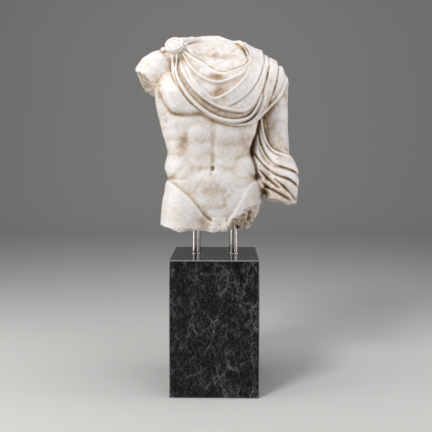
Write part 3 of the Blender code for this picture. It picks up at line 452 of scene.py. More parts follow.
def cloak_outline():
    """Corners of the cloak: along the neckline, over the shoulder, and back by the hem and lower edge."""
    return (*curve(*NECKLINE), (118, 1260), (300, 1260), *curve(*ARM_HEM)[:0:-1],
            *curve(*LOWER_EDGE)[::-1], (-142, 1166))


def shoulder_laps(x, z):
    """Edges of the folds where they cross the top of the left shoulder, drawn straight up and down."""
    h = lap(x - 169, 4, 6, 20, 8) - 3 * crest(x - 189, 5, 4) + lap(x - 219, 3, 7, 16, 12)
    return h * ease(1040, 1110, z) * (x > 90)


def cloak(x, z):
    """Cloth over the chest and the left shoulder, in millimetres over the body."""
    h = 8.0 - 4.5 * dab(x, z, (16, 1058), 44, 13) - 4.5 * dab(x, z, (36, 1016), 52, 15, -24)
    h += 3.5 * dab(x, z, (92, 1010), 60, 20, -44) + 2.5 * dab(x, z, (150, 1110), 16, 60)
    d, t = line(x, z, *NECKLINE)
    h += 3.5 * crest(d - 3, 4, 5) * (1 - ease(0.20, 0.34, t) * ease(0.62, 0.48, t))
    third, place = line(x, z, *THIRD_FOLD)
    h += 6 * crest(third, 34, 6, 1.3) * ease(0.0, 0.3, place) + 3 * crest(third, 4, 5) * ease(0, 0.1, place)
    low, run = line(x, z, *LOW_ROLL)
    recess = ease(1, 7, third) * ease(0.0, 0.34, place) * ease(0.82, 0.72, place) * ease(60, 30, third)
    h = h * (1 - recess) + (5 - 3 * ease(0.3, 0.5, place) + 7 * ease(0.55, 0.7, place)) * recess
    d, t = line(x, z, *RECESS_FOLD)
    h += 5 * crest(d, 3.5, 4) * ease(0, 0.2, t) * ease(1, 0.8, t)
    d, _ = line(x, z, *SECOND_LAP)
    h -= 5 * crest(d - 1, 4, 3.5) + 1.5 * crest(d, 12, 4) + 2 * crest(d + 11, 2.8, 2.8)
    d, t = line(x, z, *FIRST_LAP)
    h += lap(d, 3, 5.5, 20, 5) * ease(0, 0.12, t) - 1.5 * crest(d, 2.5, 2.5) * ease(0.1, 0.3, t)
    d, t = line(x, z, *FOURTH_LAP)
    h += lap(d, 3, 6.5, 14, 7) * ease(0, 0.12, t) - 2 * crest(d, 2.5, 3) * ease(0, 0.2, t)
    d, t = line(x, z, *FIRST_FOLD)
    w = 0.6 + 0.4 * ease(0, 0.4, t)
    h += 6.5 * crest(d, 3.6 * w, 5.5 * w) * ease(1, 0.85, t)
    d, t = line(x, z, *SECOND_FOLD)
    right = ease(0.48, 0.6, t)
    h += (2.5 + 2 * right) * crest(d, 4, 6 + 12 * right) * ease(1.0, 0.9, t) * ease(0.02, 0.2, t)
    h += 4.5 * crest(d, 3, 3.5) * ease(1.0, 0.9, t) * right
    w = 0.62 + 0.38 * ease(0, 0.3, run)
    h = meet(h, (18 - 3 * ease(0.7, 0.9, run)) * roll(low + 1, (8 - 2.5 * ease(0.66, 0.8, run)) * w)
             * ease(1, 0.9, run), 3)
    d, t = line(x, z, *BESIDE_ROLL)
    h = meet(h, 13 * roll(d, 4.5) * ease(1, 0.7, t), 2)
    d, t = line(x, z, *LAST_ROLL)
    h = meet(h, 15 * roll(d, 6) * ease(0, 0.15, t) * ease(1, 0.85, t), 3)
    d, t = line(x, z, *THIRD_LAP)
    h -= 3.5 * crest(d, 2.8, 2.8) * ease(0, 0.12, t) * ease(1, 0.8, t)
    d, t = line(x, z, *ARM_HEM)
    h = meet(h, 12 * roll(d + 6, 7) * ease(0, 0.15, t), 4)
    return np.maximum(h, 2)


def front(x, z):
    """Muscles, and the cloak where it covers them."""
    edge = inside(x, z, *cloak_outline())
    covered = ease(-1.5, 2.5, edge)
    h = cloak(x, z)
    above = ease(1085, 1125, z) * (x > 130)
    h = h * (1 - above) + (10 + shoulder_laps(x, z)) * above
    return muscles(x, z) * (1 - 0.75 * covered) + h * covered


FOREARM_HEM = ((160, 925), (165, 880), (180, 840), (205, 810), (260, 790))
# Creases of the forearm's cloth, with their depth
FOREARM_CREASES = (
    (((150, 900), (155, 850), (175, 800), (205, 765), (245, 750), (270, 740), (300, 715)), 11),
    (((150, 830), (165, 795), (190, 765), (225, 745)), 8),
    (((135, 810), (155, 775), (180, 750), (210, 730), (250, 715), (295, 680)), 11),
    (((135, 805), (155, 760), (195, 720)), 6),
    (((150, 750), (190, 710), (225, 680)), 8),
    (((200, 720), (240, 685), (280, 640)), 7),
    (((150, 710), (175, 690), (205, 675), (265, 640)), 10))


def front_of_arm(x, z):
    """Folds that fan out from the inner side of the forearm and wind round to its outer side."""
    d, t = line(x, z, *FOREARM_HEM)
    h = 8 * roll(d + 1, 6) * ease(1.0, 0.75, t)
    h += 3 * crest(d - 12, 4, 5) * ease(0.9, 0.7, t) - 4 * crest(d + 8, 4, 3)
    for points, depth in FOREARM_CREASES:
        d, t = line(x, z, *points)
        w = 0.72 + 0.38 * ease(0, 0.55, t)
        h += (0.55 * depth * crest(d + 8 * w, 13 * w, 6 * w) + 0.25 * depth * crest(d - 9 * w, 5 * w, 9 * w)
              - 0.68 * depth * crest(d, 4.6 * w, 4.0 * w)) * ease(0, 0.08, t) * ease(1.0, 0.84, t)
    d, _ = line(x, z, *VALLEY)
    return h - 6 * crest(d, 5, 6)


# Folds of the mantle across the back: place from hem (0) to neck (1), height, width, where it begins
MANTLE_FOLDS = ((0.05, 6.0, 1.0, 0.0), (0.17, 3.5, 0.8, 0.35), (0.27, 6.5, 1.35, 0.0), (0.43, 4.0, 0.8, 0.5),
                (0.53, 7.0, 1.5, 0.0), (0.72, 4.5, 1.0, 0.3), (0.88, 6.5, 1.5, 0.0))


def back(x, z):
    """Back and seat, and the mantle that hangs across them from the brooch."""
    d, _ = line(x, z, (-6, 1100), (-14, 900), (-16, 700), (-8, 560))
    h = 6 * mound(x, z, (-52, 860), 36, 110, 90) + 9 * mound(x, z, (-104, 1030), 60, 76, 60, -14)
    h -= 9 * crest(d, 13, 13)
    d, _ = line(x, z, (-10, 690), (-8, 600), (-6, 520))
    h -= 7 * crest(d, 12, 12)
    hem, _ = swag(x, z, (-176, 1120), (150, 706), (700, 1120), 1.8, 2)
    cloth = MANTLE_THICKNESS + 6 * roll(hem + 7, 8)
    for a, tall, wide, begin in MANTLE_FOLDS:
        d, t = swag(x, z, (-170 + 150 * a ** 1.3, 1150 + 20 * a), (160 + 70 * a, 712 + 180 * a),
                    (720, 1150), 1.8 - 0.45 * a, 2)
        d = d + 5 * np.sin(6 * t + 11 * a)
        w = wide * (0.45 + 0.55 * ease(0, 0.6, t))
        fold = crest(d, 8 * w, 14 * w) - 0.75 * crest(d - 17 * w, 7 * w, 9 * w)
        cloth += tall * fold * ease(258, 222, x) * ease(begin, begin + 0.22, t + 0.22)
    above = ease(1085, 1135, z) * ease(130, 160, x)
    cloth = np.maximum(cloth, 3) * (1 - above) + (10 + shoulder_laps(x, z)) * above
    covered = ease(4, -4, hem)
    return h * (1 - covered) + cloth * covered


def back_of_arm(x, z):
    """Seven swags across the back of the wrapped arm: each a ridge, less a narrower ridge beside it."""
    h = np.zeros(x.shape)
    for k in range(7):
        d, _ = swag(x, z, (90 + 4 * k, 1010 - 22 * k), (320, 838 - 46 * k), (900, 1000), 1.7, 2)
        h += 5 * crest(d, 7, 12) - 4.5 * crest(d - 15, 6, 6)
    return h * ease(296, 262, x) * ease(845, 800, z)


FRONT, BACK = Relief(front), Relief(back)
FRONT_OF_ARM, BACK_OF_ARM = Relief(front_of_arm), Relief(back_of_arm)
# Top outline, from the stump of the right arm over the neck to the left shoulder
TOP_LINE = ((-260, 1035), (-280, 1100), (-250, 1135), (-205, 1165), (-180, 1195), (-150, 1215),
            (-85, 1225), (10, 1230), (60, 1205), (90, 1205), (140, 1170), (165, 1165), (170, 1150),
            (185, 1150), (215, 1130), (225, 1110), (235, 1110), (245, 1075), (265, 1055), (260, 1035),
            (270, 1020))
UNDER_TOP = Relief(lambda x, z: np.clip(inside(x, z, *TOP_LINE, (340, 300), (-340, 300)), -60, 60))
UNDER_NECKLINE = Relief(
    lambda x, z: np.clip(inside(x, z, *curve(*NECKLINE), (118, 1300), (-128, 1300)), -60, 60))


# ---- the torso ----

def brooch(p):
    """Round disc with a raised rim, ring and boss, and the nub of cloth that it gathers."""
    out = unit((-0.14, -0.78, 0.61))
    side = unit(np.cross((0, 0, 1), out))
    q = (p - np.array(BROOCH_CENTRE)) @ np.stack([side, np.cross(out, side), out], 1)
    r = np.hypot(q[:, 0], q[:, 1])
    raised = (1.4 * np.exp(-((r - 29) / 3.4) ** 2) + 1.2 * np.exp(-((r - 14) / 3.0) ** 2)
              - 0.9 * np.exp(-((r - 21.5) / 4) ** 2) - 0.7 * np.exp(-((r - 7) / 3) ** 2))
    half = BROOCH_THICKNESS / 2
    disc = meet(r - BROOCH_RADIUS, np.abs(q[:, 2] + half - raised) - half - raised, 3)
    return join(disc, ellipsoid(p, (-176, -24, 1160), (12, 14, 9), 20), 3)


def collar(p):
    """Roll of cloth from the brooch round the back of the neck to the left shoulder."""
    path = ((-116, 6, 1196, 13), (-62, 66, 1206, 14), (0, 78, 1208, 14), (60, 68, 1196, 14),
            (112, 20, 1172, 13))
    pieces = [limb(p, a[:3], b[:3], a[3], b[3]) for a, b in zip(path, path[1:])]
    return np.minimum.reduce(pieces)


def thigh_hollows(x, z):
    """How much further back the broken face of the thigh lies: a pit by the rod and a gully between ribs."""
    d, t = line(x, z, (108, 618), (104, 600), (102, 578), (106, 556))
    h = -9 * crest(d, 7, 6) * ease(1, 0.6, t) - 12 * dab(x, z, (60, 572), 10, 16, -30)
    d, _ = line(x, z, (120, 614), (118, 596), (112, 574))
    h += 9 * crest(d, 5, 6) - 5 * dab(x, z, (134, 596), 9, 26, -12)
    return h + 14 * dab(x, z, (88, 562), 15, 13) - 7 * dab(x, z, (112, 548), 18, 9)


THIGH_HOLLOWS = Relief(thigh_hollows)


def thigh_break(p):
    """Broken front of the left thigh: positive where the stone is gone. Below a jagged line the skin is
    lost, and the break runs back and down from there."""
    x, y, z = p.T
    edge = np.interp(x, (35, 50, 60, 85, 100, 115, 145, 180), (545, 560, 585, 590, 610, 620, 625, 640))
    lost = edge + 3 * noise(p * (1, 0, 1), 13, 9.1) + 2.5 * noise(p * (1, 0, 1), 6, 4.6) - z
    skin = -90 + 0.0036 * np.maximum(x - 70, 0) ** 2
    slope = np.interp(x, (40, 66, 97, 125, 176), (1.5, 1.3, 0.9, 0.75, 0.6))
    back = skin + 6 + slope * lost + THIGH_HOLLOWS(p)
    side = x - np.interp(z, (530, 545, 628, 650), (112, 121, 158, 190))
    face = np.minimum.reduce([np.maximum((back - y) / 1.35, side), lost * 1.6, x - 38, 182 - x])
    return face + rough(p, 26, 7) + flaked(p, 17, 8) + flaked(p, 8, 2.5) - 3


def neck_marks(x, z):
    """Heights on the break of the neck: the swell in front, the pit, and the bands of collar beside it."""
    h = 6 * dab(x, z, (40, 1112), 60, 26) + 30 * dab(x, z, (-104, 1158), 34, 34)
    h += 10 * dab(x, z, (-70, 1150), 34, 30) + 3 * dab(x, z, (10, 1180), 60, 24)
    h -= 4 * dab(x, z, (-14, 1092), 9, 6) + 1.6 * dab(x, z, (0, 1140), 12, 22, 10)
    h -= 1.5 * dab(x, z, (40, 1150), 30, 8, -20)
    d, t = line(x, z, *NECK_CREASE)
    h += (9 * ease(1, -5, d) * ease(-28, -16, d) - 5 * crest(d, 3, 4)) * ease(0, 0.3, t)
    d, t = line(x, z, *LEFT_CREASE)
    return h + (9 * ease(1, -5, d) * ease(-40, -24, d) - 4 * crest(d, 3, 4)) * ease(1, 0.6, t)


NECK_MARKS = Relief(neck_marks)


def neck_break(p):
    """Worn break of the neck: a slope that runs up to the back."""
    slope = beyond(p, NECK_BREAK_LOW, (0, -0.70, 0.72))
    return slope + rough(p, 38, 3) + 0.8 * noise(p, 13, 4.4) - NECK_MARKS(p)


def stub(p):
    """What is left between the thighs: a worn column, wider below, with a lower lobe on its left."""
    x, y, z = p.T
    wide = 20 + 0.12 * (580 - z)
    column = np.maximum.reduce([np.abs(x - 16) - wide, np.abs(y + 68) - 24, z - 581])
    column = column + 2.2 * np.exp(-((x - 24) / 3.5) ** 2) + 1.2 * np.exp(-((x - 1) / 4) ** 2)
    lobe = limb(p, (-6, -78, 562), (-12, -80, 530), 9, 12)
    return join(column, lobe, 5) + rough(p, 18, 2) + flaked(p, 16, 1)


def torso(p):
    """Distance to the whole stone: the body less its relief, joined to collar, brooch, arm, bridge and
    stub, and cut by the breaks of the neck, the forearm and the thigh and by the underside."""
    x, y, z = p.T
    to_front = ease(48, 0, y)
    d = body(p) - FRONT(p) * to_front - BACK(p) * (1 - to_front)
    d = join(d, ellipsoid(p, (-136, -20, 1148), (34, 34, 34)), 14)
    d = meet(d, np.minimum(neck_break(p), UNDER_NECKLINE(p)), 6)
    d = meet(join(d, collar(p), 7), -UNDER_TOP(p), 4)
    d = np.minimum(d, brooch(p))
    arm = wrapped_arm(p) - FRONT_OF_ARM(p) * ease(24, -26, y) - BACK_OF_ARM(p) * ease(20, 60, y)
    d = join(d, meet(arm, forearm_break(p), 4), 5)
    bridge = (np.abs(p - np.array((164, -12, 706))) - np.array((17, 24, 16))).max(1)
    d = join(d, join(bridge, limb(p, (152, -36, 702), (164, -36, 690), 11, 9), 8) + rough(p, 22, 3), 5)
    d = join(d, stub(p), 11)
    d = np.maximum(d, thigh_break(p))
    low = np.interp(x, (-170, -120, -80, -25, 30, 45, 110, 140), (5, -10, -5, -10, -10, -5, -15, 30))
    low += UNDERSIDE + 18 * np.exp(-((x - 77) / 13) ** 4) * ease(34, 20, y)
    d = meet(d, low + rough(p, 24, 4) - z, 6)
    return d + WEAR * (0.5 * noise(p, 9, 1.3) + 0.8 * noise(p, 26, 2.9))


# ---- meshes ----

def finer(grid, axis):
    """The grid with COARSE - 1 values put in between along an axis."""
    grid = np.moveaxis(grid, axis, 0)
    at = np.arange((len(grid) - 1) * COARSE + 1) / COARSE
    i = np.minimum(at.astype(int), len(grid) - 2)
    f = (at - i).reshape(-1, 1, 1)
    return np.moveaxis(grid[i] * (1 - f) + grid[i + 1] * f, 0, axis)


def skin_of(field):
    """Points and quads of the field's zero level, worked out in full only near it."""
    step = GRID * COARSE
    axes = [np.arange(low, high + step, step) for low, high in zip(GRID_LOW, GRID_HIGH)]
    corners = np.stack(np.meshgrid(*axes, indexing="ij"), -1)
    grid = field(corners.reshape(-1, 3)).reshape(corners.shape[:3])
    for axis in range(3):
        grid = finer(grid, axis)
    near = np.nonzero(np.abs(grid) < 1.3 * step)
    grid[near] = field(np.stack(near, 1) * GRID + np.array(GRID_LOW))
    volume = openvdb.FloatGrid()
    volume.copyFromArray(np.ascontiguousarray(grid, np.float32))
    points, _, quads = volume.convertToPolygons(isovalue=0.0, adaptivity=0.0)
    return points.astype(float) * GRID + np.array(GRID_LOW), quads.astype(int)


def largest_body(points, quads):
    """The biggest connected skin, its points and faces in a fixed order."""
    label = np.arange(len(points))
    ends = np.concatenate([quads[:, [k, (k + 1) % 4]] for k in range(4)])
    while True:
        least = label.copy()
        np.minimum.at(least, ends[:, 0], label[ends[:, 1]])
        np.minimum.at(least, ends[:, 1], label[ends[:, 0]])
        least = least[least]
        if (least == label).all():
            break
        label = least
    quads = quads[label[quads[:, 0]] == np.bincount(label).argmax()]
    used = np.unique(quads)
    order = used[np.lexsort(np.round(points[used], 3).T)]
    place = np.empty(len(points), int)
    place[order] = np.arange(len(order))
    quads = place[quads]
    first = quads.argmin(1)[:, None]
    quads = np.take_along_axis(quads, (first + np.arange(4)) % 4, 1)
    return points[order], quads[np.lexsort(quads.T[::-1])]


# ---- values from 0 to 1 at each point, for the colour: stain with painted shade, lighter edges, broken faces ----

def relaxed(points, quads, rounds):
    """Points after rounds of moving each to the mean of its neighbours, kept at the rounds asked for."""
    ends = np.concatenate([quads[:, [k, (k + 1) % 4]] for k in range(4)])
    count = np.bincount(ends[:, 0], minlength=len(points))[:, None]
    kept, now = [], points
    for step in range(1, max(rounds) + 1):
        sums = [np.bincount(ends[:, 0], now[ends[:, 1], k], len(points)) for k in range(3)]
        now = np.stack(sums, 1) / count
        if step in rounds:
            kept.append(now)
    return kept


def outward(points, quads):
    """Unit normals at the points: the sum of the cross products of the diagonals of the quads round
    each."""
    across = np.cross(points[quads[:, 2]] - points[quads[:, 0]], points[quads[:, 3]] - points[quads[:, 1]])
    sums = [np.bincount(quads.ravel(), np.repeat(across[:, k], 4), len(points)) for k in range(3)]
    total = np.stack(sums, 1)
    return total / np.maximum(np.linalg.norm(total, axis=1), 1e-9)[:, None]


def hollows(points, quads, normals):
    """How far each point lies in a crease or a nook: the mean of its surroundings stands out in front
    of it, at three sizes, or the stone a hand's breadth in front of it comes near."""
    scale = (2.5 / GRID) ** 2
    rounds = [max(1, round(n * scale)) for n in (5, 30, 110)]
    fine, middle, wide = (((kept - points) * normals).sum(1) for kept in relaxed(points, quads, rounds))
    nook = 0
    for reach in (18.0, 40.0, 75.0):
        nook = nook + np.clip(1 - body_with_arm(points + normals * reach) / reach, 0, 1) / 3
    return fine, middle, wide, nook


def body_with_arm(p):
    """Distance to the stone without its muscle and folds, cut at the neck and the forearm."""
    arm = meet(wrapped_arm(p), forearm_break(p), 4)
    over_neck = np.minimum(beyond(p, NECK_BREAK_LOW, (0, -0.70, 0.72)), UNDER_NECKLINE(p))
    return meet(join(body(p), arm, 10), over_neck, 6)


def broken_faces(p):
    """1 on the faces where the stone broke off, fading over a few millimetres."""
    x = p[:, 0]
    under = UNDERSIDE - p[:, 2]
    faces = [np.abs(arm_break(p)) + 500 * (x > -178), np.abs(forearm_break(p)) + 500 * (x < 178),
             np.abs(thigh_break(p)), np.abs(under) + 500 * (under < -14)]
    return ease(6, 2, np.minimum.reduce(faces))


# Patches on the front: tan stains, and painted shade in the armpit, under the pectoral, in the dent by the
# ribs and on the inner arm; where the strength is below 0, lighter places, partly cleaner stone and partly
# painted light: X, Z, half width, half height, lean in degrees, strength
STAINS_AND_SHADES = (
    (16, 1059, 26, 12, 0, 0.86), (8, 1014, 19, 22, 0, 0.34), (52, 1030, 46, 13, -28, 0.20),
    (0, 1143, 15, 15, 0, 0.36), (44, 1140, 30, 8, -14, 0.24), (-18, 1093, 9, 6, 0, 0.40),
    (74, 1090, 34, 6, -16, 0.26), (103, 1152, 9, 28, -20, 0.30), (-88, 1150, 24, 16, 0, 0.20),
    (-101, 842, 19, 36, 14, 0.84), (-5, 850, 8, 60, 0, 0.16), (-5, 776, 9, 18, 0, 0.26),
    (-4, 915, 38, 16, 0, 0.36), (80, 846, 48, 36, 0, 0.40), (60, 784, 50, 26, 0, 0.14),
    (143, 1122, 26, 34, 0, -0.80), (-38, 846, 10, 34, 20, 0.16), (4, 684, 76, 60, 0, 0.22),
    (6, 656, 30, 16, 0, 0.16), (44, 640, 12, 24, 0, 0.14), (-40, 940, 60, 8, 0, 0.30),
    (-110, 934, 40, 7, 0, 0.50), (-190, 1008, 13, 40, -16, 0.90), (-38, 572, 14, 26, 0, 0.78),
    (188, 984, 18, 40, -10, 0.50), (184, 930, 22, 70, 0, 0.36), (212, 862, 30, 60, 0, 0.42),
    (128, 720, 26, 16, 0, 0.24), (-140, 722, 36, 8, -26, 0.26), (-160, 900, 20, 60, 0, 0.16),
    (-150, 948, 30, 12, 0, 0.24), (-224, 1120, 42, 28, 0, 0.16), (72, 588, 20, 16, 0, 0.30),
    (-134, 1060, 12, 16, 0, 0.20), (236, 1015, 14, 26, -30, 0.30), (222, 676, 60, 46, 0, 0.84),
    (250, 640, 40, 10, 0, 0.50), (104, 1000, 34, 60, -30, -0.62), (16, 566, 30, 28, 0, -0.60),
    (104, 650, 46, 50, 0, -0.75), (10, 606, 40, 14, 0, -0.30), (250, 764, 34, 34, 0, 0.36),
    (-240, 1040, 40, 40, 0, 0.34), (-66, 886, 50, 40, 0, -0.40), (20, 772, 26, 28, 0, -0.36))


def stain_of(points, normals, fine, middle, wide, nook):
    """Tan stain and painted shade: darker in creases and nooks and where the sculpture faces down, which is
    painted shade with some real dirt, and in patches of real stain, painted shade and painted light.
    """
    x, z = points[:, 0], points[:, 2]
    # Painted shade with some real dirt: darker in creases at three sizes, in nooks and where the surface
    # faces down
    stain = (0.03 + 0.12 * np.clip(fine / 0.6, -0.25, 1) + 0.24 * np.clip(middle / 3.0, -0.25, 1)
             + 0.22 * np.clip(wide / 7.0, -0.2, 1) + 0.55 * ease(0.28, 0.95, nook)
             + 0.06 * np.clip(-normals[:, 2], 0, 1))
    # Less of it where the break of the neck faces up: the painted shade kept off the lit top
    stain = stain * (1 - 0.45 * ease(0, 10, UNDER_NECKLINE(points)) * ease(-0.1, 0.4, normals[:, 2]))
    stain = stain * (1 - 0.8 * dab(x, z, (BROOCH_CENTRE[0], BROOCH_CENTRE[2]), 42, 40))
    front_side = ease(0.1, -0.5, normals[:, 1])
    for px, pz, half, tall, lean, strength in STAINS_AND_SHADES:
        stain = stain + 0.60 * strength * dab(x, z, (px, pz), half, tall, lean) * front_side
    stain = stain * (1 - 0.45 * broken_faces(points))
    return np.clip(stain + 0.08 * noise(points, 60, 6.1) + 0.05 * noise(points, 21, 8.3), 0, 1)


def mesh_piece(name, points, faces, **values):
    """Object at the origin from points in millimetres, with one value a point for each name given."""
    mesh = bpy.data.meshes.new(name)
    mesh.from_pydata((points / 1000).astype(np.float32), [], faces)
    for key, value in values.items():
        mesh.attributes.new(key, "FLOAT", "POINT").data.foreach_set("value", value.astype(np.float32))
    mesh.shade_smooth()
    piece = bpy.data.objects.new(name, mesh)
    bpy.context.scene.collection.objects.link(piece)
    return piece


def thinned(piece, triangles):
    """Fewer triangles where the stone is flat, with the modifier applied."""
    thin = piece.modifiers.new("thin", "DECIMATE")
    thin.ratio = min(1.0, triangles / (2 * len(piece.data.polygons)))
    graph = bpy.context.evaluated_depsgraph_get()
    made = bpy.data.meshes.new_from_object(piece.evaluated_get(graph))
    piece.modifiers.clear()
    old, piece.data = piece.data, made
    bpy.data.meshes.remove(old)
    return piece


def carved_torso():
    """The whole carved stone, with values kept at its points for its colour: stain with painted shade, the
    lighter edges and the broken faces.
    """
    points, quads = largest_body(*skin_of(torso))
    normals = outward(points, quads)
    fine, middle, wide, nook = hollows(points, quads, normals)
    # stain: tan stain with painted shade; edge: 1 on convex creases and ridges, made lighter as a painted
    # highlight with some wear; broken: the broken faces
    piece = mesh_piece("carved_torso", points + (0, 0, LEVEL), quads,
                       stain=stain_of(points, normals, fine, middle, wide, nook),
                       edge=np.clip(-fine / 0.6, 0, 1) * 0.6 + np.clip(-middle / 2.0, 0, 1) * 0.6,
                       broken=broken_faces(points))
    piece.data.materials.append(weathered_marble())
    return thinned(piece, MOST_TRIANGLES)


# ---- rods and plinth ----

def carried_round(name, outline, profile):
    """Surface of an outline (a function of inset, giving a ring of X and Y) at each row of the profile
    (inset and level, bottom up), its two ends closed by flat faces."""
    rings = [np.column_stack([outline(inset), np.full(len(outline(inset)), level)])
             for inset, level in profile]
    count, rows = len(rings[0]), len(rings)
    ring, row = np.meshgrid(np.arange(count), np.arange(rows - 1))
    low, after = row * count, (ring + 1) % count
    quads = np.stack([low + ring, low + after, low + count + after, low + count + ring], -1).reshape(-1, 4)
    bottom = np.arange(count)
    faces = quads.tolist() + [bottom[::-1].tolist(), ((rows - 1) * count + bottom).tolist()]
    return mesh_piece(name, np.concatenate(rings), faces)


def rod(name, node):
    """Turned steel rod in its collar: a circle, middle + radius (cos t, sin t), carried up a profile."""
    low, high = (1000 * np.array(corner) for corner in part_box(node))
    middle, wide = (low + high) / 2, (high[0] - low[0]) / 2
    foot, top = low[2], high[2]
    turn = np.arange(ROD_SIDES) / ROD_SIDES * 2 * math.pi

    def circle(inset):
        """Points round the rod, drawn in by the inset."""
        return np.stack([middle[0] + (wide - inset) * np.cos(turn),
                         middle[1] + (wide - inset) * np.sin(turn)], 1)

    # The collar's rounded rim, the small fillet at the rod's foot, then the rod up to its cut edge
    profile = ((0.0, foot), (0.0, foot + COLLAR_UP - 0.7), (0.25, foot + COLLAR_UP - 0.2),
               (0.9, foot + COLLAR_UP), (COLLAR_OUT - 0.5, foot + COLLAR_UP),
               (COLLAR_OUT, foot + COLLAR_UP + 0.5), (COLLAR_OUT, top - ROD_EDGE),
               (COLLAR_OUT + ROD_EDGE, top))
    piece = carried_round(name, circle, profile)
    piece.data.set_sharp_from_angle(angle=math.radians(40))
    piece.data.materials.append(POLISHED_STEEL)
    return piece


def plinth_block():
    """Sawn and polished block: a square with its corners cut carried up, and its other arrises cut too."""
    low, high = (1000 * np.array(corner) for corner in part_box("plinth"))
    half = (high[0] - low[0]) / 2

    def outline(inset):
        """Corners of the cut square, drawn in by the inset."""
        far = half - inset
        near = half - max(ARRIS, inset + 0.05)
        return np.array([(far, near), (near, far), (-near, far), (-far, near),
                         (-far, -near), (-near, -far), (near, -far), (far, -near)])

    profile = ((ARRIS, low[2]), (0, low[2] + ARRIS), (0, high[2] - ARRIS), (ARRIS, high[2]))
    piece = carried_round("plinth_block", outline, profile)
    piece.data.set_sharp_from_angle(angle=math.radians(30))
    facing = np.empty(3 * len(piece.data.polygons))
    piece.data.polygons.foreach_get("normal", facing)
    cut = np.abs(facing.reshape(-1, 3)).max(1) < 0.95
    # 1 on the cut arrises, which the finish paints a lighter grey: a painted highlight
    piece.data.attributes.new("arris", "FLOAT", "FACE").data.foreach_set("value", cut.astype(np.float32))
    piece.data.materials.append(POLISHED_BLACK_MARBLE)
    return piece


# ---- finishes ----

def linear(code):
    """sRGB hex to linear colour."""
    parts = [int(code[k:k + 2], 16) / 255 for k in (0, 2, 4)]
    return (*[c / 12.92 if c < 0.04045 else ((c + 0.055) / 1.055) ** 2.4 for c in parts], 1)


def add(tree, kind, wires=(), out=0, stops=(), **settings):
    """New node, and the output asked for: settings go on the node, wires give each socket its value or
    the output that it reads, and stops give the places of a ramp their colours."""
    made = tree.nodes.new("ShaderNode" + kind)
    for key, value in settings.items():
        setattr(made, key, value)
    for socket, value in dict(wires).items():
        if isinstance(value, bpy.types.NodeSocket):
            tree.links.new(value, made.inputs[socket])
        else:
            made.inputs[socket].default_value = value
    for k, (place, code) in enumerate(dict(stops).items()):
        stop = made.color_ramp.elements[k] if k < 2 else made.color_ramp.elements.new(place)
        stop.position, stop.color = place, linear(code)
    return made.outputs[out]


def new_material(name, **constants):
    """Material with its node tree and its shader, constants set straight on the shader's sockets."""
    made = bpy.data.materials.new(name)
    made.use_nodes = True
    shader = made.node_tree.nodes["Principled BSDF"]
    for key, value in constants.items():
        shader.inputs[key.replace("_", " ").title().replace("Ior", "IOR")].default_value = value
    return made, made.node_tree, shader


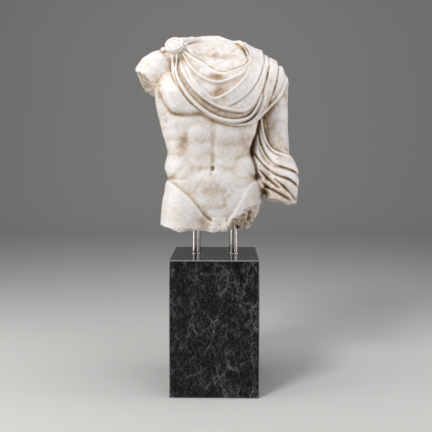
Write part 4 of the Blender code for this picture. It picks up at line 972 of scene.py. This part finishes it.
def weathered_marble():
    """White marble, carved and rubbed smooth, then centuries in the open: tan and brown with iron and dirt,
    with painted shade in the hollows, lighter in places, partly cleaner stone and partly painted light,
    lighter on its edges as a painted highlight with some wear, thinly veined, pitted, and coarse and brown
    where it broke."""
    made, tree, shader = new_material("weathered white marble", ior=1.49)
    place = add(tree, "TexCoord", out="Object")
    cloud = add(tree, "TexNoise", {"Vector": place, "Scale": 22.0, "Detail": 6.0, "Roughness": 0.62,
                "Distortion": 0.4})
    blotch = add(tree, "TexNoise", {"Vector": place, "Scale": 70.0, "Detail": 5.0, "Roughness": 0.62})
    grain = add(tree, "TexNoise", {"Vector": place, "Scale": 420.0, "Detail": 3.0, "Roughness": 0.6})
    bent = add(tree, "TexNoise", {"Vector": place, "Scale": 13.0, "Detail": 5.0, "Roughness": 0.55,
               "Distortion": 1.6})
    stain, edge, broken = (add(tree, "Attribute", attribute_name=key, out="Fac")
                           for key in ("stain", "edge", "broken"))
    # Tone: 0 is clean stone, 1 the darkest stain and painted shade
    mottle = add(tree, "Math", {0: blotch, 1: 0.33, 2: -0.165}, operation="MULTIPLY_ADD")
    mottle = add(tree, "Math", {0: cloud, 1: 0.46, 2: mottle}, operation="MULTIPLY_ADD")
    tone = add(tree, "Math", {0: grain, 1: 0.20, 2: -0.240}, operation="MULTIPLY_ADD")
    tone = add(tree, "Math", {0: mottle, 1: tone}, operation="ADD")
    # Lighter on convex edges and ridges: a painted highlight, with some rubbed wear
    tone = add(tree, "Math", {0: edge, 1: -0.14, 2: tone}, operation="MULTIPLY_ADD")
    # Stain and painted shade from the point values, stronger where the mottle is darker
    heavy = add(tree, "Math", {0: mottle, 1: 0.3, 2: 0.70}, operation="MULTIPLY_ADD")
    tone = add(tree, "Math", {0: stain, 1: heavy, 2: tone}, operation="MULTIPLY_ADD")
    # Pits: the peaks of a fine noise
    pit = add(tree, "TexNoise", {"Vector": place, "Scale": 170.0, "Detail": 2.0})
    pit = add(tree, "MapRange", {"Value": pit, "From Min": 0.64, "From Max": 0.72})
    tone = add(tree, "Math", {0: pit, 1: 0.26, 2: tone}, operation="MULTIPLY_ADD")
    # Veins: thin lines where a bent noise passes its middle value
    away = add(tree, "Math", {0: bent, 1: 0.5, 2: 0.006}, operation="COMPARE")
    vein = add(tree, "Math", {0: away, 1: cloud}, operation="MULTIPLY")
    tone = add(tree, "Math", {0: vein, 1: 0.16, 2: tone}, operation="MULTIPLY_ADD", use_clamp=True)
    colour = add(tree, "ValToRGB", {"Fac": tone}, stops={0.0: "EEEAE8", 1.0: "46372A", 0.14: "E3DBD3",
                 0.30: "CFBEAC", 0.48: "B0987C", 0.70: "80684E"})
    crystal = add(tree, "TexNoise", {"Vector": place, "Scale": 75.0, "Detail": 4.0, "Roughness": 0.62,
                  "Distortion": 0.6})
    fresh = add(tree, "ValToRGB", {"Fac": crystal}, stops={0.32: "7A654D", 0.72: "F4EBE0", 0.43: "A18A70",
                0.55: "CDB9A0"})
    share = add(tree, "Math", {0: broken, 1: 0.70}, operation="MULTIPLY")
    mixed = add(tree, "Mix", {0: share, 6: colour, 7: fresh}, data_type="RGBA", out=2)
    tree.links.new(mixed, shader.inputs["Base Color"])
    rough = add(tree, "MapRange", {"Value": tone, "To Min": 0.46, "To Max": 0.78})
    tree.links.new(rough, shader.inputs["Roughness"])
    relief = add(tree, "Math", {0: grain, 1: 0.35, 2: blotch}, operation="MULTIPLY_ADD")
    relief = add(tree, "Math", {0: pit, 1: -0.6, 2: relief}, operation="MULTIPLY_ADD")
    bump = add(tree, "Bump", {"Height": relief, "Strength": 0.6, "Distance": 0.0012})
    tree.links.new(bump, shader.inputs["Normal"])
    return made


def polished_steel():
    """Stainless bar, ground and polished along its length: bright, with a faint drawn grain round it."""
    made, tree, shader = new_material("polished steel", metallic=1.0)
    place = add(tree, "TexCoord", out="Object")
    drawn = add(tree, "Mapping", {"Vector": place, "Scale": (1.0, 1.0, 0.03)})
    lines = add(tree, "TexNoise", {"Vector": drawn, "Scale": 900.0, "Detail": 3.0})
    smoke = add(tree, "TexNoise", {"Vector": place, "Scale": 40.0, "Detail": 3.0})
    tint = add(tree, "ValToRGB", {"Fac": smoke}, stops={0.3: "A9A39C", 0.7: "C6C1BA"})
    tree.links.new(tint, shader.inputs["Base Color"])
    gloss = add(tree, "MapRange", {"Value": lines, "To Min": 0.16, "To Max": 0.28})
    tree.links.new(gloss, shader.inputs["Roughness"])
    bump = add(tree, "Bump", {"Height": lines, "Strength": 0.2, "Distance": 0.0001})
    tree.links.new(bump, shader.inputs["Normal"])
    return made


def polished_black_marble():
    """Black marble, sawn, honed and polished: near black, with a net of fine wavy grey veins that run mostly
    upwards, light flecks all over, a few brown tints, and a clear gloss. Its arrises are painted a lighter
    grey, a painted highlight along the edges."""
    made, tree, shader = new_material("polished black marble", ior=1.5, specular_ior_level=0.17)
    place = add(tree, "TexCoord", out="Object")
    arris = add(tree, "Attribute", attribute_name="arris", out="Fac")
    sway = add(tree, "TexNoise", {"Vector": place, "Scale": 48.0, "Detail": 6.0, "Roughness": 0.7},
               out="Color")
    sway = add(tree, "VectorMath", {0: sway, 1: (0.040, 0.040, 0.050)}, operation="MULTIPLY")
    moved = add(tree, "VectorMath", {0: place, 1: sway}, operation="ADD")
    upright = add(tree, "Mapping", {"Vector": moved, "Scale": (1.0, 1.0, 0.32)})
    # Veins: the borders of cells bent by noise, wide apart and close together
    wide_net = add(tree, "TexVoronoi", {"Vector": upright, "Scale": 21.0}, feature="DISTANCE_TO_EDGE")
    close_net = add(tree, "TexVoronoi", {"Vector": upright, "Scale": 70.0}, feature="DISTANCE_TO_EDGE")
    patch = add(tree, "TexNoise", {"Vector": place, "Scale": 17.0, "Detail": 4.0, "Roughness": 0.6})
    grain = add(tree, "TexNoise", {"Vector": upright, "Scale": 190.0, "Detail": 5.0, "Roughness": 0.8})
    great = add(tree, "MapRange", {"Value": wide_net, "From Max": 0.040, "To Min": 1.0, "To Max": 0.0})
    lesser = add(tree, "MapRange", {"Value": close_net, "From Max": 0.085, "To Min": 0.50, "To Max": 0.0})
    where = add(tree, "MapRange", {"Value": patch, "From Min": 0.44, "From Max": 0.64, "To Min": 0.14,
                "To Max": 0.80})
    net = add(tree, "Math", {0: great, 1: lesser}, operation="MAXIMUM")
    net = add(tree, "Math", {0: net, 1: where}, operation="MULTIPLY")
    broken_up = add(tree, "MapRange", {"Value": grain, "From Min": 0.40, "From Max": 0.60})
    net = add(tree, "Math", {0: net, 1: broken_up}, operation="MULTIPLY")
    speck = add(tree, "MapRange", {"Value": grain, "From Min": 0.555, "From Max": 0.69, "To Max": 0.36})
    net = add(tree, "Math", {0: net, 1: speck}, operation="MAXIMUM")
    # Painted highlight: the arrises a lighter grey
    arris_highlight = add(tree, "Math", {0: arris, 1: 0.55}, operation="MULTIPLY")
    net = add(tree, "Math", {0: net, 1: arris_highlight}, operation="MAXIMUM")
    ground = add(tree, "ValToRGB", {"Fac": patch}, stops={0.30: "020203", 0.70: "120F0D", 0.52: "060607"})
    veined = add(tree, "Mix", {0: net, 6: ground, 7: linear("B2AFAC")}, data_type="RGBA", out=2)
    tree.links.new(veined, shader.inputs["Base Color"])
    gloss = add(tree, "MapRange", {"Value": net, "To Min": 0.10, "To Max": 0.34})
    tree.links.new(gloss, shader.inputs["Roughness"])
    return made


def plain(name, code, roughness):
    """One even colour, as a painted or plastered surface has."""
    made, _, shader = new_material(name, roughness=roughness)
    shader.inputs["Base Color"].default_value = linear(code)
    return made


POLISHED_STEEL = polished_steel()
POLISHED_BLACK_MARBLE = polished_black_marble()

stone = carved_torso()
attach(stone, "root")
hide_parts("torso")
for name, node in (("steel_rod_left", "rod_left"), ("steel_rod_right", "rod_right")):
    bar = rod(name, node)
    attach(bar, "root")
    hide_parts(node)
block = plinth_block()
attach(block, "root")
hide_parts("plinth")

# ---- floor, light and camera ----

# Floor that sweeps up behind: a straight run, a quarter circle and a wall, carried across
turn = np.linspace(0, math.pi / 2, 17)
bend = np.stack([FLOOR_BACK + FLOOR_BEND * np.sin(turn), FLOOR_BEND - FLOOR_BEND * np.cos(turn)], 1)
run = np.concatenate([[(FLOOR_FRONT, 0)], bend, [(FLOOR_BACK + FLOOR_BEND, FLOOR_TOP)]])
sweep = np.array([(x, y, z - FLOOR_UNDER) for y, z in run for x in (-FLOOR_SIDE, FLOOR_SIDE)]) * 1000
rows = np.arange(len(run) - 1)[:, None] * 2
floor = mesh_piece("floor", sweep, np.hstack([rows, rows + 1, rows + 3, rows + 2]).tolist())
floor.data.materials.append(plain("pale plaster floor", "D9D7D4", 0.8))


def soft_light(name, spot, aim, size, watts, code, tall=0.0):
    """Softbox pointed at a spot, square unless it is tall."""
    lamp = bpy.data.lights.new(name, "AREA")
    lamp.shape = "RECTANGLE"
    lamp.size, lamp.size_y, lamp.energy, lamp.color = size, tall or size, watts, linear(code)[:3]
    placed = bpy.data.objects.new(name, lamp)
    placed.location = spot
    placed.rotation_euler = (Vector(aim) - Vector(spot)).to_track_quat("-Z", "Y").to_euler()
    bpy.context.scene.collection.objects.link(placed)


soft_light("key", (-1.6, -2.1, 3.0), (0, 0, 0.9), 0.9, 62.5, "FFFFFF")
soft_light("fill", (2.0, -2.4, 1.0), (0, 0, 0.8), 1.6, 18.5, "FBFAFF")
soft_light("left strip", (-2.0, -0.4, 1.0), (0, 0, 0.8), 1.4, 20, "FFFFFF", 2.2)
soft_light("right strip", (2.0, -0.1, 1.2), (0, 0, 0.9), 0.9, 15, "FFFFFF", 2.2)
soft_light("top", (0.1, -0.3, 3.1), (0, 0, 0.9), 1.2, 18, "FFFFFF")

world = bpy.data.worlds.new("soft room")
world.use_nodes = True
world.node_tree.nodes["Background"].inputs["Color"].default_value = linear("C9CCD0")
world.node_tree.nodes["Background"].inputs["Strength"].default_value = 0.22
bpy.context.scene.world = world
bpy.context.scene.view_settings.view_transform = "Standard"

camera = bpy.data.objects.new("camera", bpy.data.cameras.new("camera"))
camera.data.sensor_width, camera.data.lens, camera.data.shift_y = 36, 51.98, -0.0988
camera.location = (0.037, -2.194, 0.819)
camera.rotation_euler = (math.radians(88), 0, math.radians(0.87))
bpy.context.scene.collection.objects.link(camera)
bpy.context.scene.camera = camera
